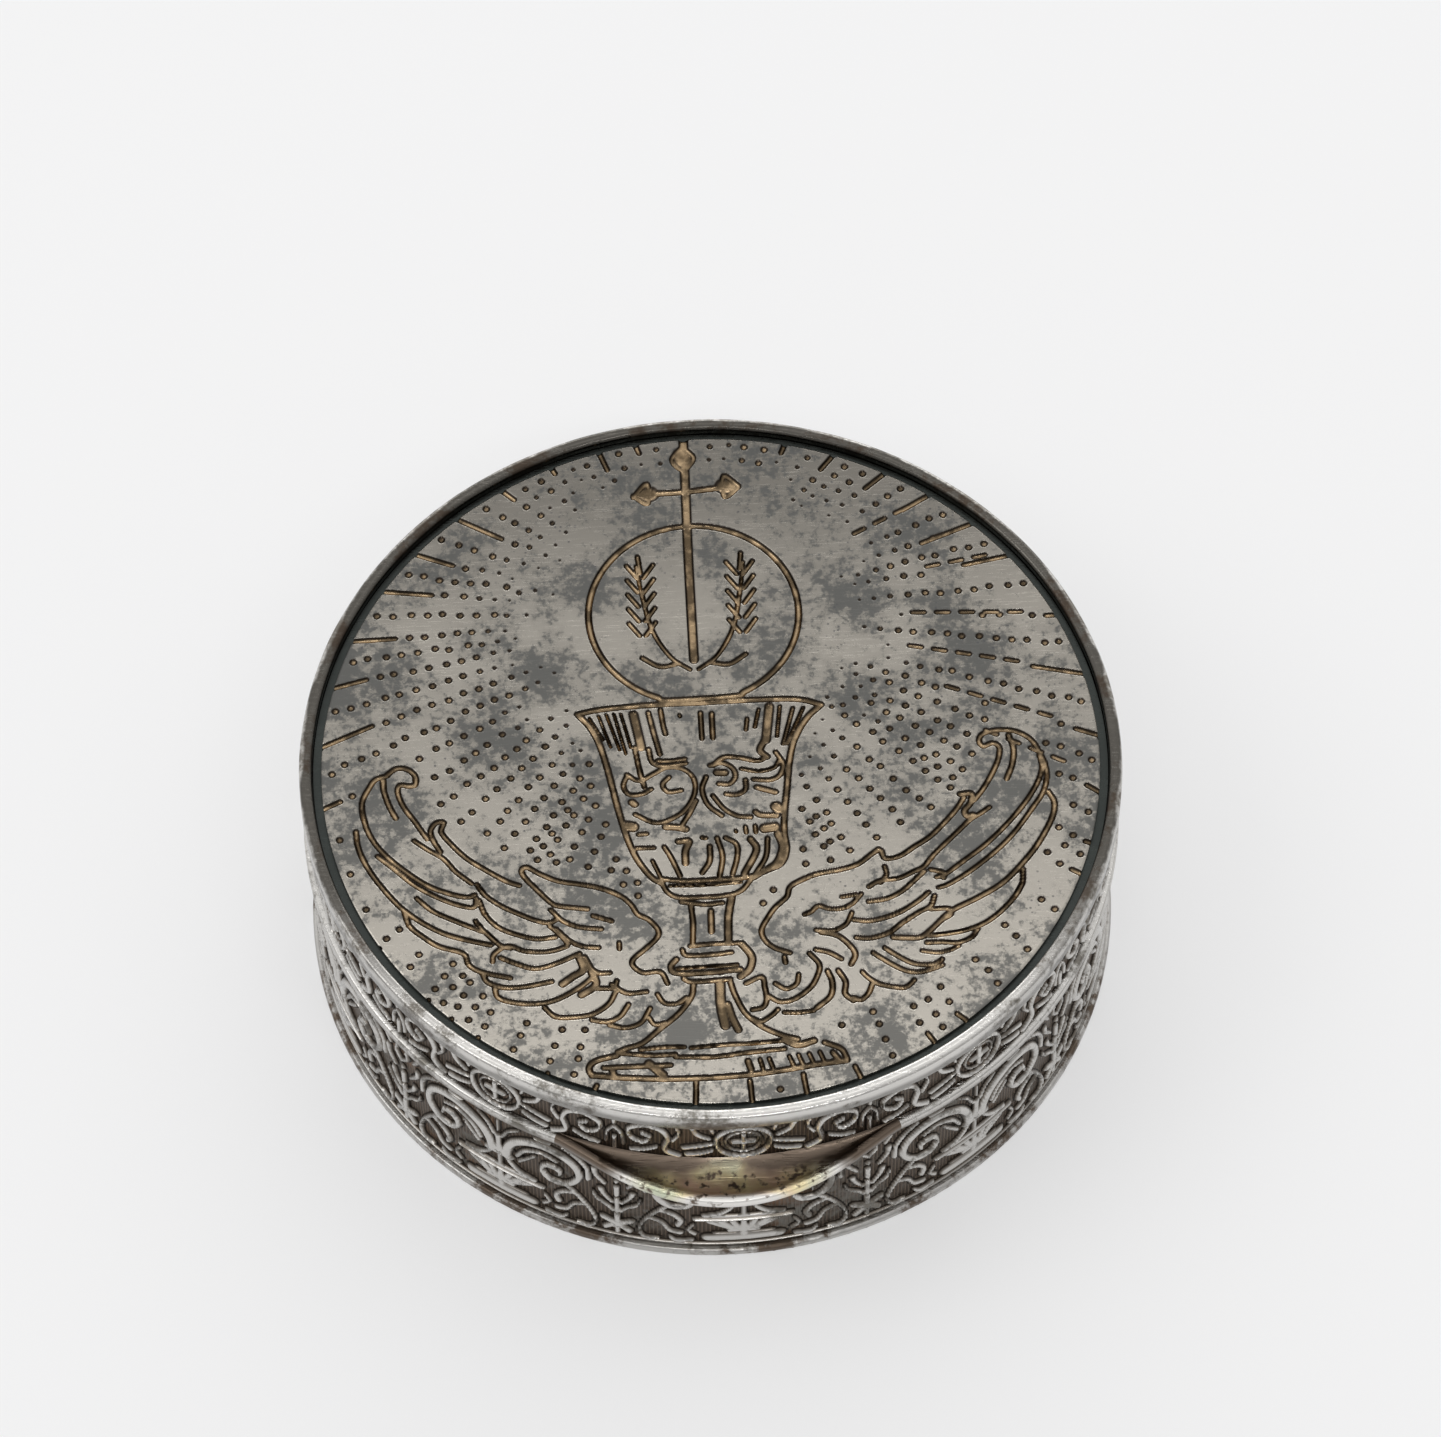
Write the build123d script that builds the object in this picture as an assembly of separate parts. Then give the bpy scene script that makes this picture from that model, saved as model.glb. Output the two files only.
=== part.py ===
from build123d import *

import os
from math import asin, degrees, pi, radians, tan

# A round hinged pyx: a low silver box with an engraved lid, stamped scroll bands and a gilt inner cup.
# All sizes are in millimetres. +Z is up, the lid's lip faces -Y and the hinge is at +Y.
# The origin is the middle of the base plate's underside, where the box rests on a table.

# Overall form
box_radius = 26.0  # outside of the rim wire, the mouth wire and the base plate
box_height = 18.0
lid_height = 6.7  # from the plane where the lid meets the body to the top
solder_seam = 0.03  # gap left between pieces that are soldered to each other

# Stamped bands, which make the two walls
wire_proud = 0.6  # how far the wires stand out past the band's ground
band_wall = 0.87
border_bead_height = 0.34
border_bead_proud = 0.24
relief_height = 0.3
pattern_repeats = 10
pattern_turn = 2.0  # degrees from the lip's middle to the middle of an urn
body_motif_height = 9.9  # height that the body band's ornament is drawn for
lid_motif_height = 4.4
motif_width = 16.0  # width of one repeat that both are drawn for

# Base plate and gilt inner cup
base_thickness = 0.7
base_edge_round = 0.2
cup_wall = 0.55
cup_floor = 0.5
cup_corner_round = 1.2
collar_height = 1.7  # how far the cup stands above the joint to guide the lid
collar_edge_round = 0.18

# Lid
lid_clearance = 0.15  # radial gap between the lid's band and the collar
joint_gap = 0.05  # the closed lid's height above the body band
plate_thickness = 0.7
moat_depth = 0.35
moat_width = 0.55
field_edge_chamfer = 0.1
rim_width = 0.88
rim_height = 1.4
rim_proud = 0.4  # the rim wire's height above the engraved field
rim_round = 0.34
lining_thickness = 0.3
lining_skirt = 1.2

# Mouth wire and thumb lip
wire_height = 0.8
wire_round = 0.26
lip_reach = 2.65  # how far the lip stands out beyond the box
lip_half_width = 9.0
lip_rim_width = 0.35
lip_scoop_depth = 0.42
lip_scoop_radius = 2.5

# Hinge
knuckle_count = 5
knuckle_length = 2.4
knuckle_gap = 0.1
knuckle_radius = 1.0
knuckle_clearance = 0.12  # between a knuckle and the mouth wire
pin_radius = 0.42
pin_clearance = 0.04
pin_head_radius = 0.68
pin_head_length = 0.3
leaf_thickness = 0.5
leaf_share = 0.77  # of the lid band's height that shows
leaf_corner = 0.8
foot_spread = 1.4  # how far a knuckle's foot runs along its leaf past the barrel

# Catch
nib_radius = 0.75
nib_proud = 0.19  # 0.04 more than the lid's clearance, so the lid snaps over it
nib_height = 0.9  # above the joint
dimple_clearance = 0.08

# Worked out from the sizes above
joint_height = box_height - lid_height
band_ground_radius = box_radius - wire_proud
band_ring_radius = band_ground_radius + border_bead_proud
body_band_inner = band_ground_radius - band_wall
cup_outer_radius = body_band_inner - solder_seam
lid_band_inner = cup_outer_radius + lid_clearance
cup_inner_radius = cup_outer_radius - cup_wall
collar_top = joint_height + collar_height
rim_inner_radius = box_radius - rim_width
rim_bottom = box_height - rim_height
field_height = box_height - rim_proud
field_radius = rim_inner_radius - moat_width
plate_bottom = field_height - plate_thickness
lid_bottom = joint_height + joint_gap
lining_top = plate_bottom - solder_seam
leaf_inner = band_ground_radius + solder_seam
leaf_outer = leaf_inner + leaf_thickness
leaf_low_lid = lid_bottom + wire_height + solder_seam
leaf_top_body = joint_height - border_bead_height - solder_seam
leaf_length = leaf_share * (rim_bottom - leaf_low_lid)
hinge_y = box_radius + knuckle_clearance + knuckle_radius
wire_inner_radius = band_ground_radius + solder_seam
lip_half_angle = degrees(asin(lip_half_width / box_radius))
hinge_half = (knuckle_count * knuckle_length + (knuckle_count - 1) * knuckle_gap) / 2


def lip_circle():
    """Centre height in Y and radius of the arc that bounds the lip in plan."""
    tip_y = -((box_radius**2 - lip_half_width**2) ** 0.5)
    outer_y = -(box_radius + lip_reach)
    rise = tip_y - outer_y
    radius = (lip_half_width**2 + rise**2) / (2 * rise)
    return outer_y + radius, radius


def ring(inner, outer, low, high):
    """A plain tube between two radii and two heights."""
    blank = Cylinder(outer, high - low, align=(Align.CENTER, Align.CENTER, Align.MIN))
    bore = Cylinder(inner, high - low, align=(Align.CENTER, Align.CENTER, Align.MIN))
    return Pos(0, 0, low) * (blank - bore)


def turned(points):
    """A solid turned about the Z axis from a closed outline of (radius, height) points."""
    outline = make_face(Polyline(*[(r, 0, z) for r, z in points], close=True))
    return revolve(outline, Axis.Z)


def edges_at(shape, radius, height):
    """The circular edges of a turned solid that lie at a radius and a height."""
    found = shape.edges().filter_by(GeomType.CIRCLE)
    return found.filter_by(
        lambda e: abs(e.radius - radius) < 1e-4 and abs(e.center().Z - height) < 1e-4
    )


def stamped_band(inner, low, high, low_bead):
    """A wall band whose ground lies below a plain border bead, at its top and, if asked, its foot."""
    bead = border_bead_height
    outline = [
        (inner, high),
        (inner, low),
        (band_ground_radius, low),
        (band_ground_radius, high - bead),
        (band_ring_radius, high - bead),
        (band_ring_radius, high),
    ]
    if low_bead:
        outline[2:3] = [
            (band_ring_radius, low),
            (band_ring_radius, low + bead),
            (band_ground_radius, low + bead),
        ]
    return turned(outline)


def curl(start, middle, end, width):
    """A raised stem of constant width along an arc through three points, on the right and the left."""
    stem = SlotArc(ThreePointArc(start, middle, end), width)
    return stem + mirror(stem, Plane.YZ)


def scroll(x, y, radius, start, width):
    """A pair of open rings, each with a round eye, on the right and the left."""
    stem = SlotArc(CenterArc((x, y), radius, start, 300), width)
    eye = Pos(x, y) * Circle(0.3 * radius)
    return stem + eye + mirror(stem, Plane.YZ) + mirror(eye, Plane.YZ)


def drop(y, length, width):
    """An upright rounded drop on the middle line."""
    return Pos(0, y) * SlotOverall(length, width, rotation=90)


def urn():
    """The body band's main motif, seen flat: an urn on its plinth under two scrolls."""
    bowl = make_face(
        ThreePointArc((-2.6, 2.9), (-1.5, 2.2), (-0.6, 1.1))
        + Line((-0.6, 1.1), (0.6, 1.1))
        + ThreePointArc((0.6, 1.1), (1.5, 2.2), (2.6, 2.9))
        + Line((2.6, 2.9), (-2.6, 2.9))
    )
    solid = bowl + Pos(0, 0.65) * Rectangle(4.6, 0.95) + Pos(0, 3.1) * Rectangle(6.2, 0.45)
    tendrils = curl((4.6, 4.9), (6.2, 3.0), (5.9, 0.6), 0.4) + curl((5.2, 3.9), (4.3, 3.3), (4.1, 2.2), 0.5)
    shoots = curl((5.6, 2.5), (4.9, 1.8), (3.9, 1.3), 0.45)
    return solid + drop(5.6, 3.6, 0.66) + drop(8.3, 1.2, 0.5) + scroll(3.3, 6.75, 2.1, 265, 0.56) + tendrils + shoots


def flower():
    """The motif between two urns: a rosette with drops above it and a bud between two stems."""
    rosette = Pos(0, 1.35) * (Circle(1.15) - Circle(0.8) + Circle(0.45))
    return rosette + drop(3.75, 1.7, 0.5) + drop(5.65, 1.1, 0.62) + drop(8.3, 1.4, 0.5) + curl(
        (1.84, 6.2), (2.15, 8.0), (3.2, 9.2), 0.4
    )


def roundel():
    """The lid band's main motif: a ringed boss between small leaves and scrolls."""
    ring_width = 0.4
    boss = Pos(0, 2.17) * (Circle(1.8) - Circle(1.8 - ring_width) + Circle(0.55))
    leaves = curl((2.2, 1.0), (2.9, 0.7), (3.6, 0.55), 0.42) + curl((2.2, 2.9), (2.9, 3.2), (3.3, 3.8), 0.42)
    return boss + leaves + scroll(5.7, 2.4, 1.2, 235, 0.42)


def bud():
    """The lid band's motif between two roundels."""
    return drop(1.1, 1.4, 0.5) + drop(3.5, 0.8, 0.5)


def raised(motif, turn, foot, height, drawn_height):
    """A flat motif laid round the band in every repeat, as pads that rise from the band's ground."""
    room = 2 * pi * band_ground_radius / pattern_repeats
    fitted = scale(motif, by=min(room / motif_width, height / drawn_height))
    shell = ring(band_ground_radius - solder_seam, band_ground_radius + relief_height, foot, foot + height)
    front = Pos(0, 0, foot) * Plane.XZ.location * fitted
    pads = (extrude(front, band_ring_radius) & shell).solids()
    step = 360 / pattern_repeats
    return [Rot(0, 0, pattern_turn + turn + step * i) * pad for i in range(pattern_repeats) for pad in pads]


def ornamented(band, foot, height, drawn_height, main, between, seat):
    """A wall band with its two motifs, whose forms are left out where a hinge leaf seats on it."""
    pads = raised(main, 0, foot, height, drawn_height)
    pads += raised(between, 180 / pattern_repeats, foot, height, drawn_height)
    return band.fuse(*[pad for pad in pads if not pad.bounding_box().overlaps(seat.bounding_box())])


def leaf_seat(low):
    """The space that a hinge leaf takes up on a band."""
    middle = (0, hinge_y, low + leaf_length / 2)
    return Pos(*middle) * Box(2 * (hinge_half + solder_seam), 6, leaf_length + 2 * solder_seam)


def base_plate():
    """The flat bottom, whose edge stands out past the band as a plain foot."""
    plate = Cylinder(box_radius, base_thickness, align=(Align.CENTER, Align.CENTER, Align.MIN))
    return fillet(plate.edges().filter_by(GeomType.CIRCLE), base_edge_round)


def body_band():
    """The body's stamped wall, between the base plate and the joint."""
    low = base_thickness + solder_seam
    band = stamped_band(body_band_inner, low, joint_height, low_bead=True)
    foot = low + border_bead_height
    room = joint_height - border_bead_height - foot
    return ornamented(band, foot, room, body_motif_height, urn(), flower(), leaf_seat(leaf_top_body - leaf_length))


def inner_cup():
    """The gilt cup that holds the wafers; its wall rises past the joint as the lid's collar."""
    low = base_thickness + solder_seam
    cup = Pos(0, 0, low) * Cylinder(
        cup_outer_radius, collar_top - low, align=(Align.CENTER, Align.CENTER, Align.MIN)
    )
    hollow = Pos(0, 0, low + cup_floor) * Cylinder(
        cup_inner_radius, collar_top - low, align=(Align.CENTER, Align.CENTER, Align.MIN)
    )
    hollow = fillet(edges_at(hollow, cup_inner_radius, low + cup_floor), cup_corner_round)
    cup = cup - hollow
    mouth = edges_at(cup, cup_outer_radius, collar_top) + edges_at(cup, cup_inner_radius, collar_top)
    return fillet(mouth, collar_edge_round)


def nib_ball(extra=0.0):
    """The ball whose cap makes the catch's nib, or its dimple when it is made larger."""
    centre_y = -(cup_outer_radius + nib_proud - nib_radius)
    return Pos(0, centre_y, joint_height + nib_height) * Sphere(nib_radius + extra)


def catch_nib():
    """A small soldered nib on the front of the collar that snaps into the lid band's dimple."""
    cap = nib_ball()
    return cap - Cylinder(cup_outer_radius + solder_seam, 4 * box_height)


def lid_band():
    """The lid's stamped wall, with a dimple inside for the catch; the mouth wire is its low border."""
    band = stamped_band(lid_band_inner, lid_bottom, plate_bottom - solder_seam, low_bead=False)
    band = band - nib_ball(dimple_clearance)
    room = rim_bottom - solder_seam - leaf_low_lid
    return ornamented(band, leaf_low_lid, room, lid_motif_height, roundel(), bud(), leaf_seat(leaf_low_lid))


def lid_plate():
    """The engraved top: a raised field with a moat between it and the rim wire."""
    edge = rim_inner_radius - solder_seam
    moat_floor = field_height - moat_depth
    return turned(
        [
            (0, plate_bottom),
            (edge, plate_bottom),
            (edge, moat_floor),
            (field_radius, moat_floor),
            (field_radius, field_height - field_edge_chamfer),
            (field_radius - field_edge_chamfer, field_height),
            (0, field_height),
        ]
    )


def lid_rim_wire():
    """The rounded wire round the top; it laps over the band's upper edge."""
    lap = band_ring_radius + solder_seam
    rim = turned(
        [
            (rim_inner_radius, plate_bottom),
            (rim_inner_radius, box_height),
            (box_radius, box_height),
            (box_radius, rim_bottom),
            (lap, rim_bottom),
            (lap, plate_bottom),
        ]
    )
    top = edges_at(rim, rim_inner_radius, box_height) + edges_at(rim, box_radius, box_height)
    return fillet(top, rim_round)


def lid_lining():
    """A thin gilt cap inside the lid, over the back of the engraved plate."""
    outer = lid_band_inner - solder_seam
    inner = outer - lining_thickness
    return turned(
        [
            (0, lining_top),
            (outer, lining_top),
            (outer, lining_top - lining_skirt),
            (inner, lining_top - lining_skirt),
            (inner, lining_top - lining_thickness),
            (0, lining_top - lining_thickness),
        ]
    )


def lid_mouth_wire():
    """The plain wire round the lid's mouth, open at the front where the lip takes its place."""
    section = make_face(
        Polyline(
            (wire_inner_radius, 0, lid_bottom),
            (box_radius, 0, lid_bottom),
            (box_radius, 0, lid_bottom + wire_height),
            (wire_inner_radius, 0, lid_bottom + wire_height),
            close=True,
        )
    )
    outer_corners = section.vertices().filter_by(lambda v: abs(v.X - box_radius) < 1e-6)
    gap = lip_half_angle + degrees(solder_seam / box_radius)
    wire = revolve(fillet(outer_corners, wire_round), Axis.Z, 360 - 2 * gap)
    return Rot(0, 0, gap - 90) * wire


def thumb_lip():
    """The crescent lip that lifts the lid: a plate with a scooped top and a raised edge."""
    centre_y, radius = lip_circle()
    blank = Pos(0, centre_y, lid_bottom) * Cylinder(
        radius, wire_height, align=(Align.CENTER, Align.CENTER, Align.MIN)
    )
    blank = fillet(blank.edges().filter_by(GeomType.CIRCLE), wire_round)
    chord = (lip_scoop_radius**2 - (lip_scoop_radius - lip_scoop_depth) ** 2) ** 0.5
    scoop_height = lid_bottom + wire_height + lip_scoop_radius - lip_scoop_depth
    scoop = Torus(radius - lip_rim_width - chord, lip_scoop_radius)
    reach = 2 * box_radius
    side = reach * tan(radians(lip_half_angle))
    wedge = make_face(Polyline((0, 0), (side, -reach), (-side, -reach), close=True))
    wedge = Pos(0, 0, -box_height) * extrude(wedge, 3 * box_height)
    lip = blank - Pos(0, centre_y, scoop_height) * scoop - Cylinder(wire_inner_radius, 4 * box_height)
    return lip & wedge


def leaf(low, high):
    """A hinge leaf that follows the band round the back of the box."""
    plate = ring(leaf_inner, leaf_outer, low, high)
    window = Pos(0, hinge_y, (low + high) / 2) * Box(2 * hinge_half, 3 * knuckle_length, high - low)
    corners = window.edges().filter_by(Axis.Y)
    return plate & fillet(corners, leaf_corner)


def body_leaf():
    """The leaf soldered to the body band, just under the joint."""
    return leaf(leaf_top_body - leaf_length, leaf_top_body)


def lid_leaf():
    """The leaf soldered to the lid band, just above the mouth wire."""
    return leaf(leaf_low_lid, leaf_low_lid + leaf_length)


def knuckles(first, side):
    """Every second knuckle from the one numbered first. side is +1 for the lid and -1 for the body."""
    near = abs((leaf_low_lid if side > 0 else leaf_top_body) - joint_height)
    far = knuckle_radius + foot_spread
    reach = hinge_y - leaf_inner + hinge_half / 4
    outline = make_face(
        Polyline(
            (0, 0),
            (0, side * knuckle_radius),
            (-reach, side * far),
            (-reach, side * near),
            (-knuckle_radius, side * near),
            close=True,
        )
    )
    profile = Circle(knuckle_radius) + outline - Circle(pin_radius + pin_clearance)
    pitch = knuckle_length + knuckle_gap
    solids = []
    for number in range(first, knuckle_count, 2):
        start = -hinge_half + number * pitch
        place = Plane(origin=(start, hinge_y, joint_height), x_dir=(0, 1, 0), z_dir=(1, 0, 0))
        knuckle = extrude(place * profile, knuckle_length)
        solids.append(knuckle - Cylinder(leaf_outer + solder_seam, 4 * box_height))
    return Compound(solids)


def hinge_pin():
    """The hinge pin, with a low peened head at each end."""
    shank = hinge_half + solder_seam
    tip = shank + pin_head_length
    outline = Polyline(
        (-tip, 0),
        (-tip, pin_head_radius / 2),
        (-shank - pin_head_length / 2, pin_head_radius),
        (-shank, pin_head_radius),
        (-shank, pin_radius),
        (shank, pin_radius),
        (shank, pin_head_radius),
        (shank + pin_head_length / 2, pin_head_radius),
        (tip, pin_head_radius / 2),
        (tip, 0),
        close=True,
    )
    return Pos(0, hinge_y, joint_height) * revolve(make_face(outline), Axis.X)


pieces = {
    "base_plate": base_plate(),
    "body_band": body_band(),
    "inner_cup": inner_cup(),
    "catch_nib": catch_nib(),
    "body_leaf": body_leaf(),
    "body_knuckles": knuckles(0, -1),
    "hinge_pin": hinge_pin(),
    "lid_band": lid_band(),
    "lid_plate": lid_plate(),
    "lid_rim_wire": lid_rim_wire(),
    "lid_lining": lid_lining(),
    "lid_mouth_wire": lid_mouth_wire(),
    "thumb_lip": thumb_lip(),
    "lid_leaf": lid_leaf(),
    "lid_knuckles": knuckles(1, 1),
}

os.makedirs("parts", exist_ok=True)
for name, shape in pieces.items():
    export_step(shape, f"parts/{name}.step")
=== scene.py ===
"""The looks of a round hinged pyx: engraved lid, stamped walls, worn silver wires with painted highlights,
and gilt inside.
"""

import math

import bpy
import numpy as np
from mathutils import Matrix, Vector


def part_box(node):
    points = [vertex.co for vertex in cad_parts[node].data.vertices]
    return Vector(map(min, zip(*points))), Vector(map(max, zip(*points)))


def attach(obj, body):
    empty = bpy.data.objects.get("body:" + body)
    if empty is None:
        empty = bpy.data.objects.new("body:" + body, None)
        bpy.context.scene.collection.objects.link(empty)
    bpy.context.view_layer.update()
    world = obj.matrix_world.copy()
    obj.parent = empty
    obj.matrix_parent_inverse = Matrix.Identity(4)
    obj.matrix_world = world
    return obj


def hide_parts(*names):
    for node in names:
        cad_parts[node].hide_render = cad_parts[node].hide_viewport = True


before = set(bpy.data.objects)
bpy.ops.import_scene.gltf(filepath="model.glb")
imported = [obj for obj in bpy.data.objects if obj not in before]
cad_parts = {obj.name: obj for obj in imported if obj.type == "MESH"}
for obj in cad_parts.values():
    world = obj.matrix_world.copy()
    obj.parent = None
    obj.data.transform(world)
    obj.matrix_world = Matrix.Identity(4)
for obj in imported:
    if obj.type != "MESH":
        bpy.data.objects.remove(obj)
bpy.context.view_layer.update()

bl_info = {
    "name": "Silver Pyx",
    "version": (1, 0, 0),
    "blender": (4, 5, 0),
    "location": "3D Viewport > Sidebar > Pyx",
    "description": "Dresses the round silver box in its engraving, stamped bands and finishes",
    "category": "Object",
}

MM = 0.001


def extent(node):
    """The low and high corners of a CAD piece, in millimetres."""
    return [[round(value / MM, 3) for value in corner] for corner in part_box(node)]


# Sizes of the CAD pieces, in millimetres like all sizes here
(_, _, PLATE_BOTTOM), (PLATE_RADIUS, _, FIELD_HEIGHT) = extent("lid_plate")
(_, _, BODY_BAND_LOW), (_, _, BODY_BAND_HIGH) = extent("body_band")
(_, _, LID_BAND_LOW), (_, _, LID_BAND_HIGH) = extent("lid_band")
(_, _, MOUTH_BOTTOM), (_, _, MOUTH_TOP) = extent("lid_mouth_wire")
(_, _, RIM_BOTTOM), (BOX_RADIUS, _, BOX_TOP) = extent("lid_rim_wire")
CUP_RADIUS = extent("inner_cup")[1][0]
LINING_RADIUS = extent("lid_lining")[1][0]
SEAM = 0.03  # gap between fixed pieces

# The lid's plate
FIELD_RADIUS = 24.57
MOAT_FLOOR = 17.25
PLATE_CELLS = 280  # from the middle of the field to its edge
GROOVE_COLOUR_DEPTH = 0.2  # depth at which a groove has its full colour
FIELD_WAVE = 0.012  # how far the field is from flat
FIELD_EASE, FIELD_DROP = 0.12, 0.06  # width and drop of the field's worn edge
MAP_CELL = 0.04

# The walls
BAND_RADIUS = 25.4
REPEATS = 10
PATTERN_TURN = 2.0  # degrees from the lip to the middle of a repeat
BEAD_INSET, BEAD_HALF_WIDTH, BEAD_HEIGHT = 0.17, 0.18, 0.24
RAISED_COLOUR_HEIGHT = 0.26  # height at which the relief has its full colour

# The wires and the lip
WIRE_INSET = 0.03  # room for the wires' waver
RIM_GAP = 0.05  # from the plate to the rim wire
RIM_SKIRT = 0.3  # thickness of the rim wire's lower part
RIM_ROUNDING = 0.36
MOUTH_INNER = 25.45
MOUTH_EDGE = 0.26
LIP_REACH, LIP_HALF_ANGLE = 2.64, 24.5
LIP_EDGE, LIP_SCOOP = 0.5, 0.38

# The engraving
HOST_CENTRE = (-0.6, 11.1)
HOST_RADIUS = 6.72
HOST_OPENING = 4.6  # height below which the cup hides the host
HOST_WIDTH = 0.5
STROKE_WIDTHS = (0.46, 0.36)  # at the field's edge and at the inner end
DASH_LENGTH, DASH_PITCH, DASH_WIDTH = 0.75, 1.55, 0.42
GRAIN_WIDTHS = (0.5, 0.3)
PUNCH_DEPTH = 0.2
DOT_RADIUS, DOT_PITCH, DOT_CLEAR = 0.28, 0.98, 0.45
DOT_FIELD_RADIUS = 24.0
ROW_END = 9.0  # how near to the host the rows of dots come
CROSS_X = -0.7

# Camera and lights: the camera's places in millimetres, the softboxes' in metres
IMAGE_SIZE = (1441, 1437)
CAMERA_FOCAL = 7000  # in the photograph's pixels
CAMERA_PLACE = (-8.07, -230.98, 394.10)
CAMERA_AIM = (0.97, 8.45, 9.0)
CAMERA_ROLL = -0.484
FLOOR_HALF = 3.0  # in metres
FLOOR_GLOW = 0.46  # light that only the camera and reflections see, so that the floor stays pale
WORLD_BRIGHT, WORLD_DIM = 0.95, 0.5
WORLD_BRIGHT_SIDE = (-0.08, 0.72, 0.69)
SOFTBOXES = (
    ("Left softbox", (-0.7, -0.1, 0.8), (0.6, 0.5), 1.5),
    ("Back softbox", (0.1, 1.0, 0.35), (1.2, 0.3), 3.0),
    ("Top softbox", (0.0, 0.27, 0.75), (0.4, 0.2), 0.12),
    ("Front strip", (0.05, -0.5, 0.75), (0.6, 0.06), 1.0),
)

GILT_NODES = ("inner_cup", "catch_nib", "lid_lining")
DULL_NODES = ("base_plate", "body_leaf", "lid_leaf", "body_knuckles", "lid_knuckles", "hinge_pin")

# Engraved lines placed on three study views, each a part of the lid seen straight from above
# Each row is the line's width in millimetres, then the x and y of its points in the view's pixels, y down.
STUDY_SCALE = 60.8  # pixels for a millimetre
# Each view's left side in millimetres from the box's axis, and the pixel row that the axis lies on
RIGHT_VIEW, LEFT_VIEW, CUP_VIEW = (0, 183), (-25, 183), (-10, 365)

# Feathers of the wing on the right
RIGHT_WING = (
    (0.42, 262, 1045, 205, 1020, 170, 985, 160, 940, 185, 890, 215, 845, 262, 800, 275, 760, 310, 735, 380,
        705, 470, 690, 540, 668, 590, 630, 622, 605),
    (0.42, 632, 612, 645, 648, 700, 640, 760, 600, 820, 560, 880, 500, 930, 440, 960, 392),
    (0.5, 948, 376, 990, 376, 985, 415, 960, 450, 968, 474, 990, 470),
    (0.42, 1000, 405, 1040, 350, 1080, 280, 1105, 220, 1110, 170, 1085, 152, 1050, 165, 1035, 140, 1050,
        110, 1100, 95, 1165, 100, 1215, 125, 1245, 160, 1265, 210, 1280, 250),
    (0.45, 1150, 120, 1165, 180, 1155, 250, 1130, 315),
    (0.4, 1262, 215, 1268, 270, 1250, 330, 1200, 415, 1120, 515, 1030, 605, 940, 675, 870, 728, 835, 740),
    (0.4, 1280, 250, 1285, 310, 1265, 380, 1220, 450, 1140, 560, 1060, 642, 960, 722, 880, 772, 840, 786),
    (0.45, 1285, 380, 1305, 430, 1290, 500, 1230, 610, 1160, 700, 1080, 780, 980, 840, 900, 880, 860, 910,
        800, 970, 760, 1000, 700, 1000, 655, 995),
    (0.4, 1165, 720, 1155, 790, 1100, 870, 1020, 940, 940, 975, 860, 990, 790, 995),
    (0.4, 975, 975, 950, 1010, 900, 1030, 840, 1025, 780, 1025),
    (0.35, 760, 1060, 820, 1070, 870, 1060, 900, 1045),
    (0.4, 835, 1100, 800, 1120, 730, 1115, 670, 1080, 620, 1040),
    (0.4, 835, 1125, 760, 1150, 700, 1145, 640, 1110, 575, 1060),
    (0.4, 725, 1185, 690, 1215, 640, 1210, 590, 1195, 550, 1165, 530, 1140),
    (0.42, 565, 1195, 548, 1235, 520, 1260, 490, 1250),
    (0.45, 440, 1130, 465, 1180, 460, 1230, 490, 1262),
    (0.45, 400, 1130, 415, 1180, 405, 1240, 350, 1288),
    (0.42, 335, 1050, 370, 1100, 360, 1150, 330, 1200, 270, 1245, 215, 1255, 175, 1230),
    (0.4, 290, 1140, 280, 1180, 240, 1200, 200, 1175),
    (0.42, 90, 1170, 150, 1145, 160, 1190, 165, 1240, 150, 1275, 110, 1285),
    (0.4, 360, 1035, 410, 1050, 455, 1080),
    (0.45, 385, 960, 440, 975, 480, 1010, 508, 1060, 490, 1105),
    (0.38, 365, 950, 430, 955, 480, 930, 505, 880),
    (0.4, 510, 912, 570, 920, 640, 905, 700, 880, 760, 840, 800, 805),
    (0.4, 515, 990, 570, 995, 640, 975, 700, 930, 760, 890, 805, 865, 822, 820),
    (0.4, 570, 835, 640, 825, 700, 795, 760, 740, 790, 710),
    (0.4, 575, 770, 620, 745, 690, 738, 750, 710, 790, 690, 830, 640, 880, 590, 940, 530, 980, 490, 1020,
        465, 1055, 440),
    (0.38, 640, 682, 645, 720, 620, 755),
    (0.38, 325, 880, 350, 870, 380, 845, 420, 860, 470, 860, 510, 840, 545, 800),
    (0.36, 470, 810, 525, 802),
    (0.4, 815, 705, 860, 720, 862, 745),
    (0.42, 805, 880, 870, 880, 878, 905, 835, 932),
    (0.4, 105, 1320, 140, 1335, 180, 1312, 205, 1288),
    (0.38, 228, 1302, 290, 1305, 340, 1298),
    (0.42, 240, 1062, 243, 1086),
)

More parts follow.
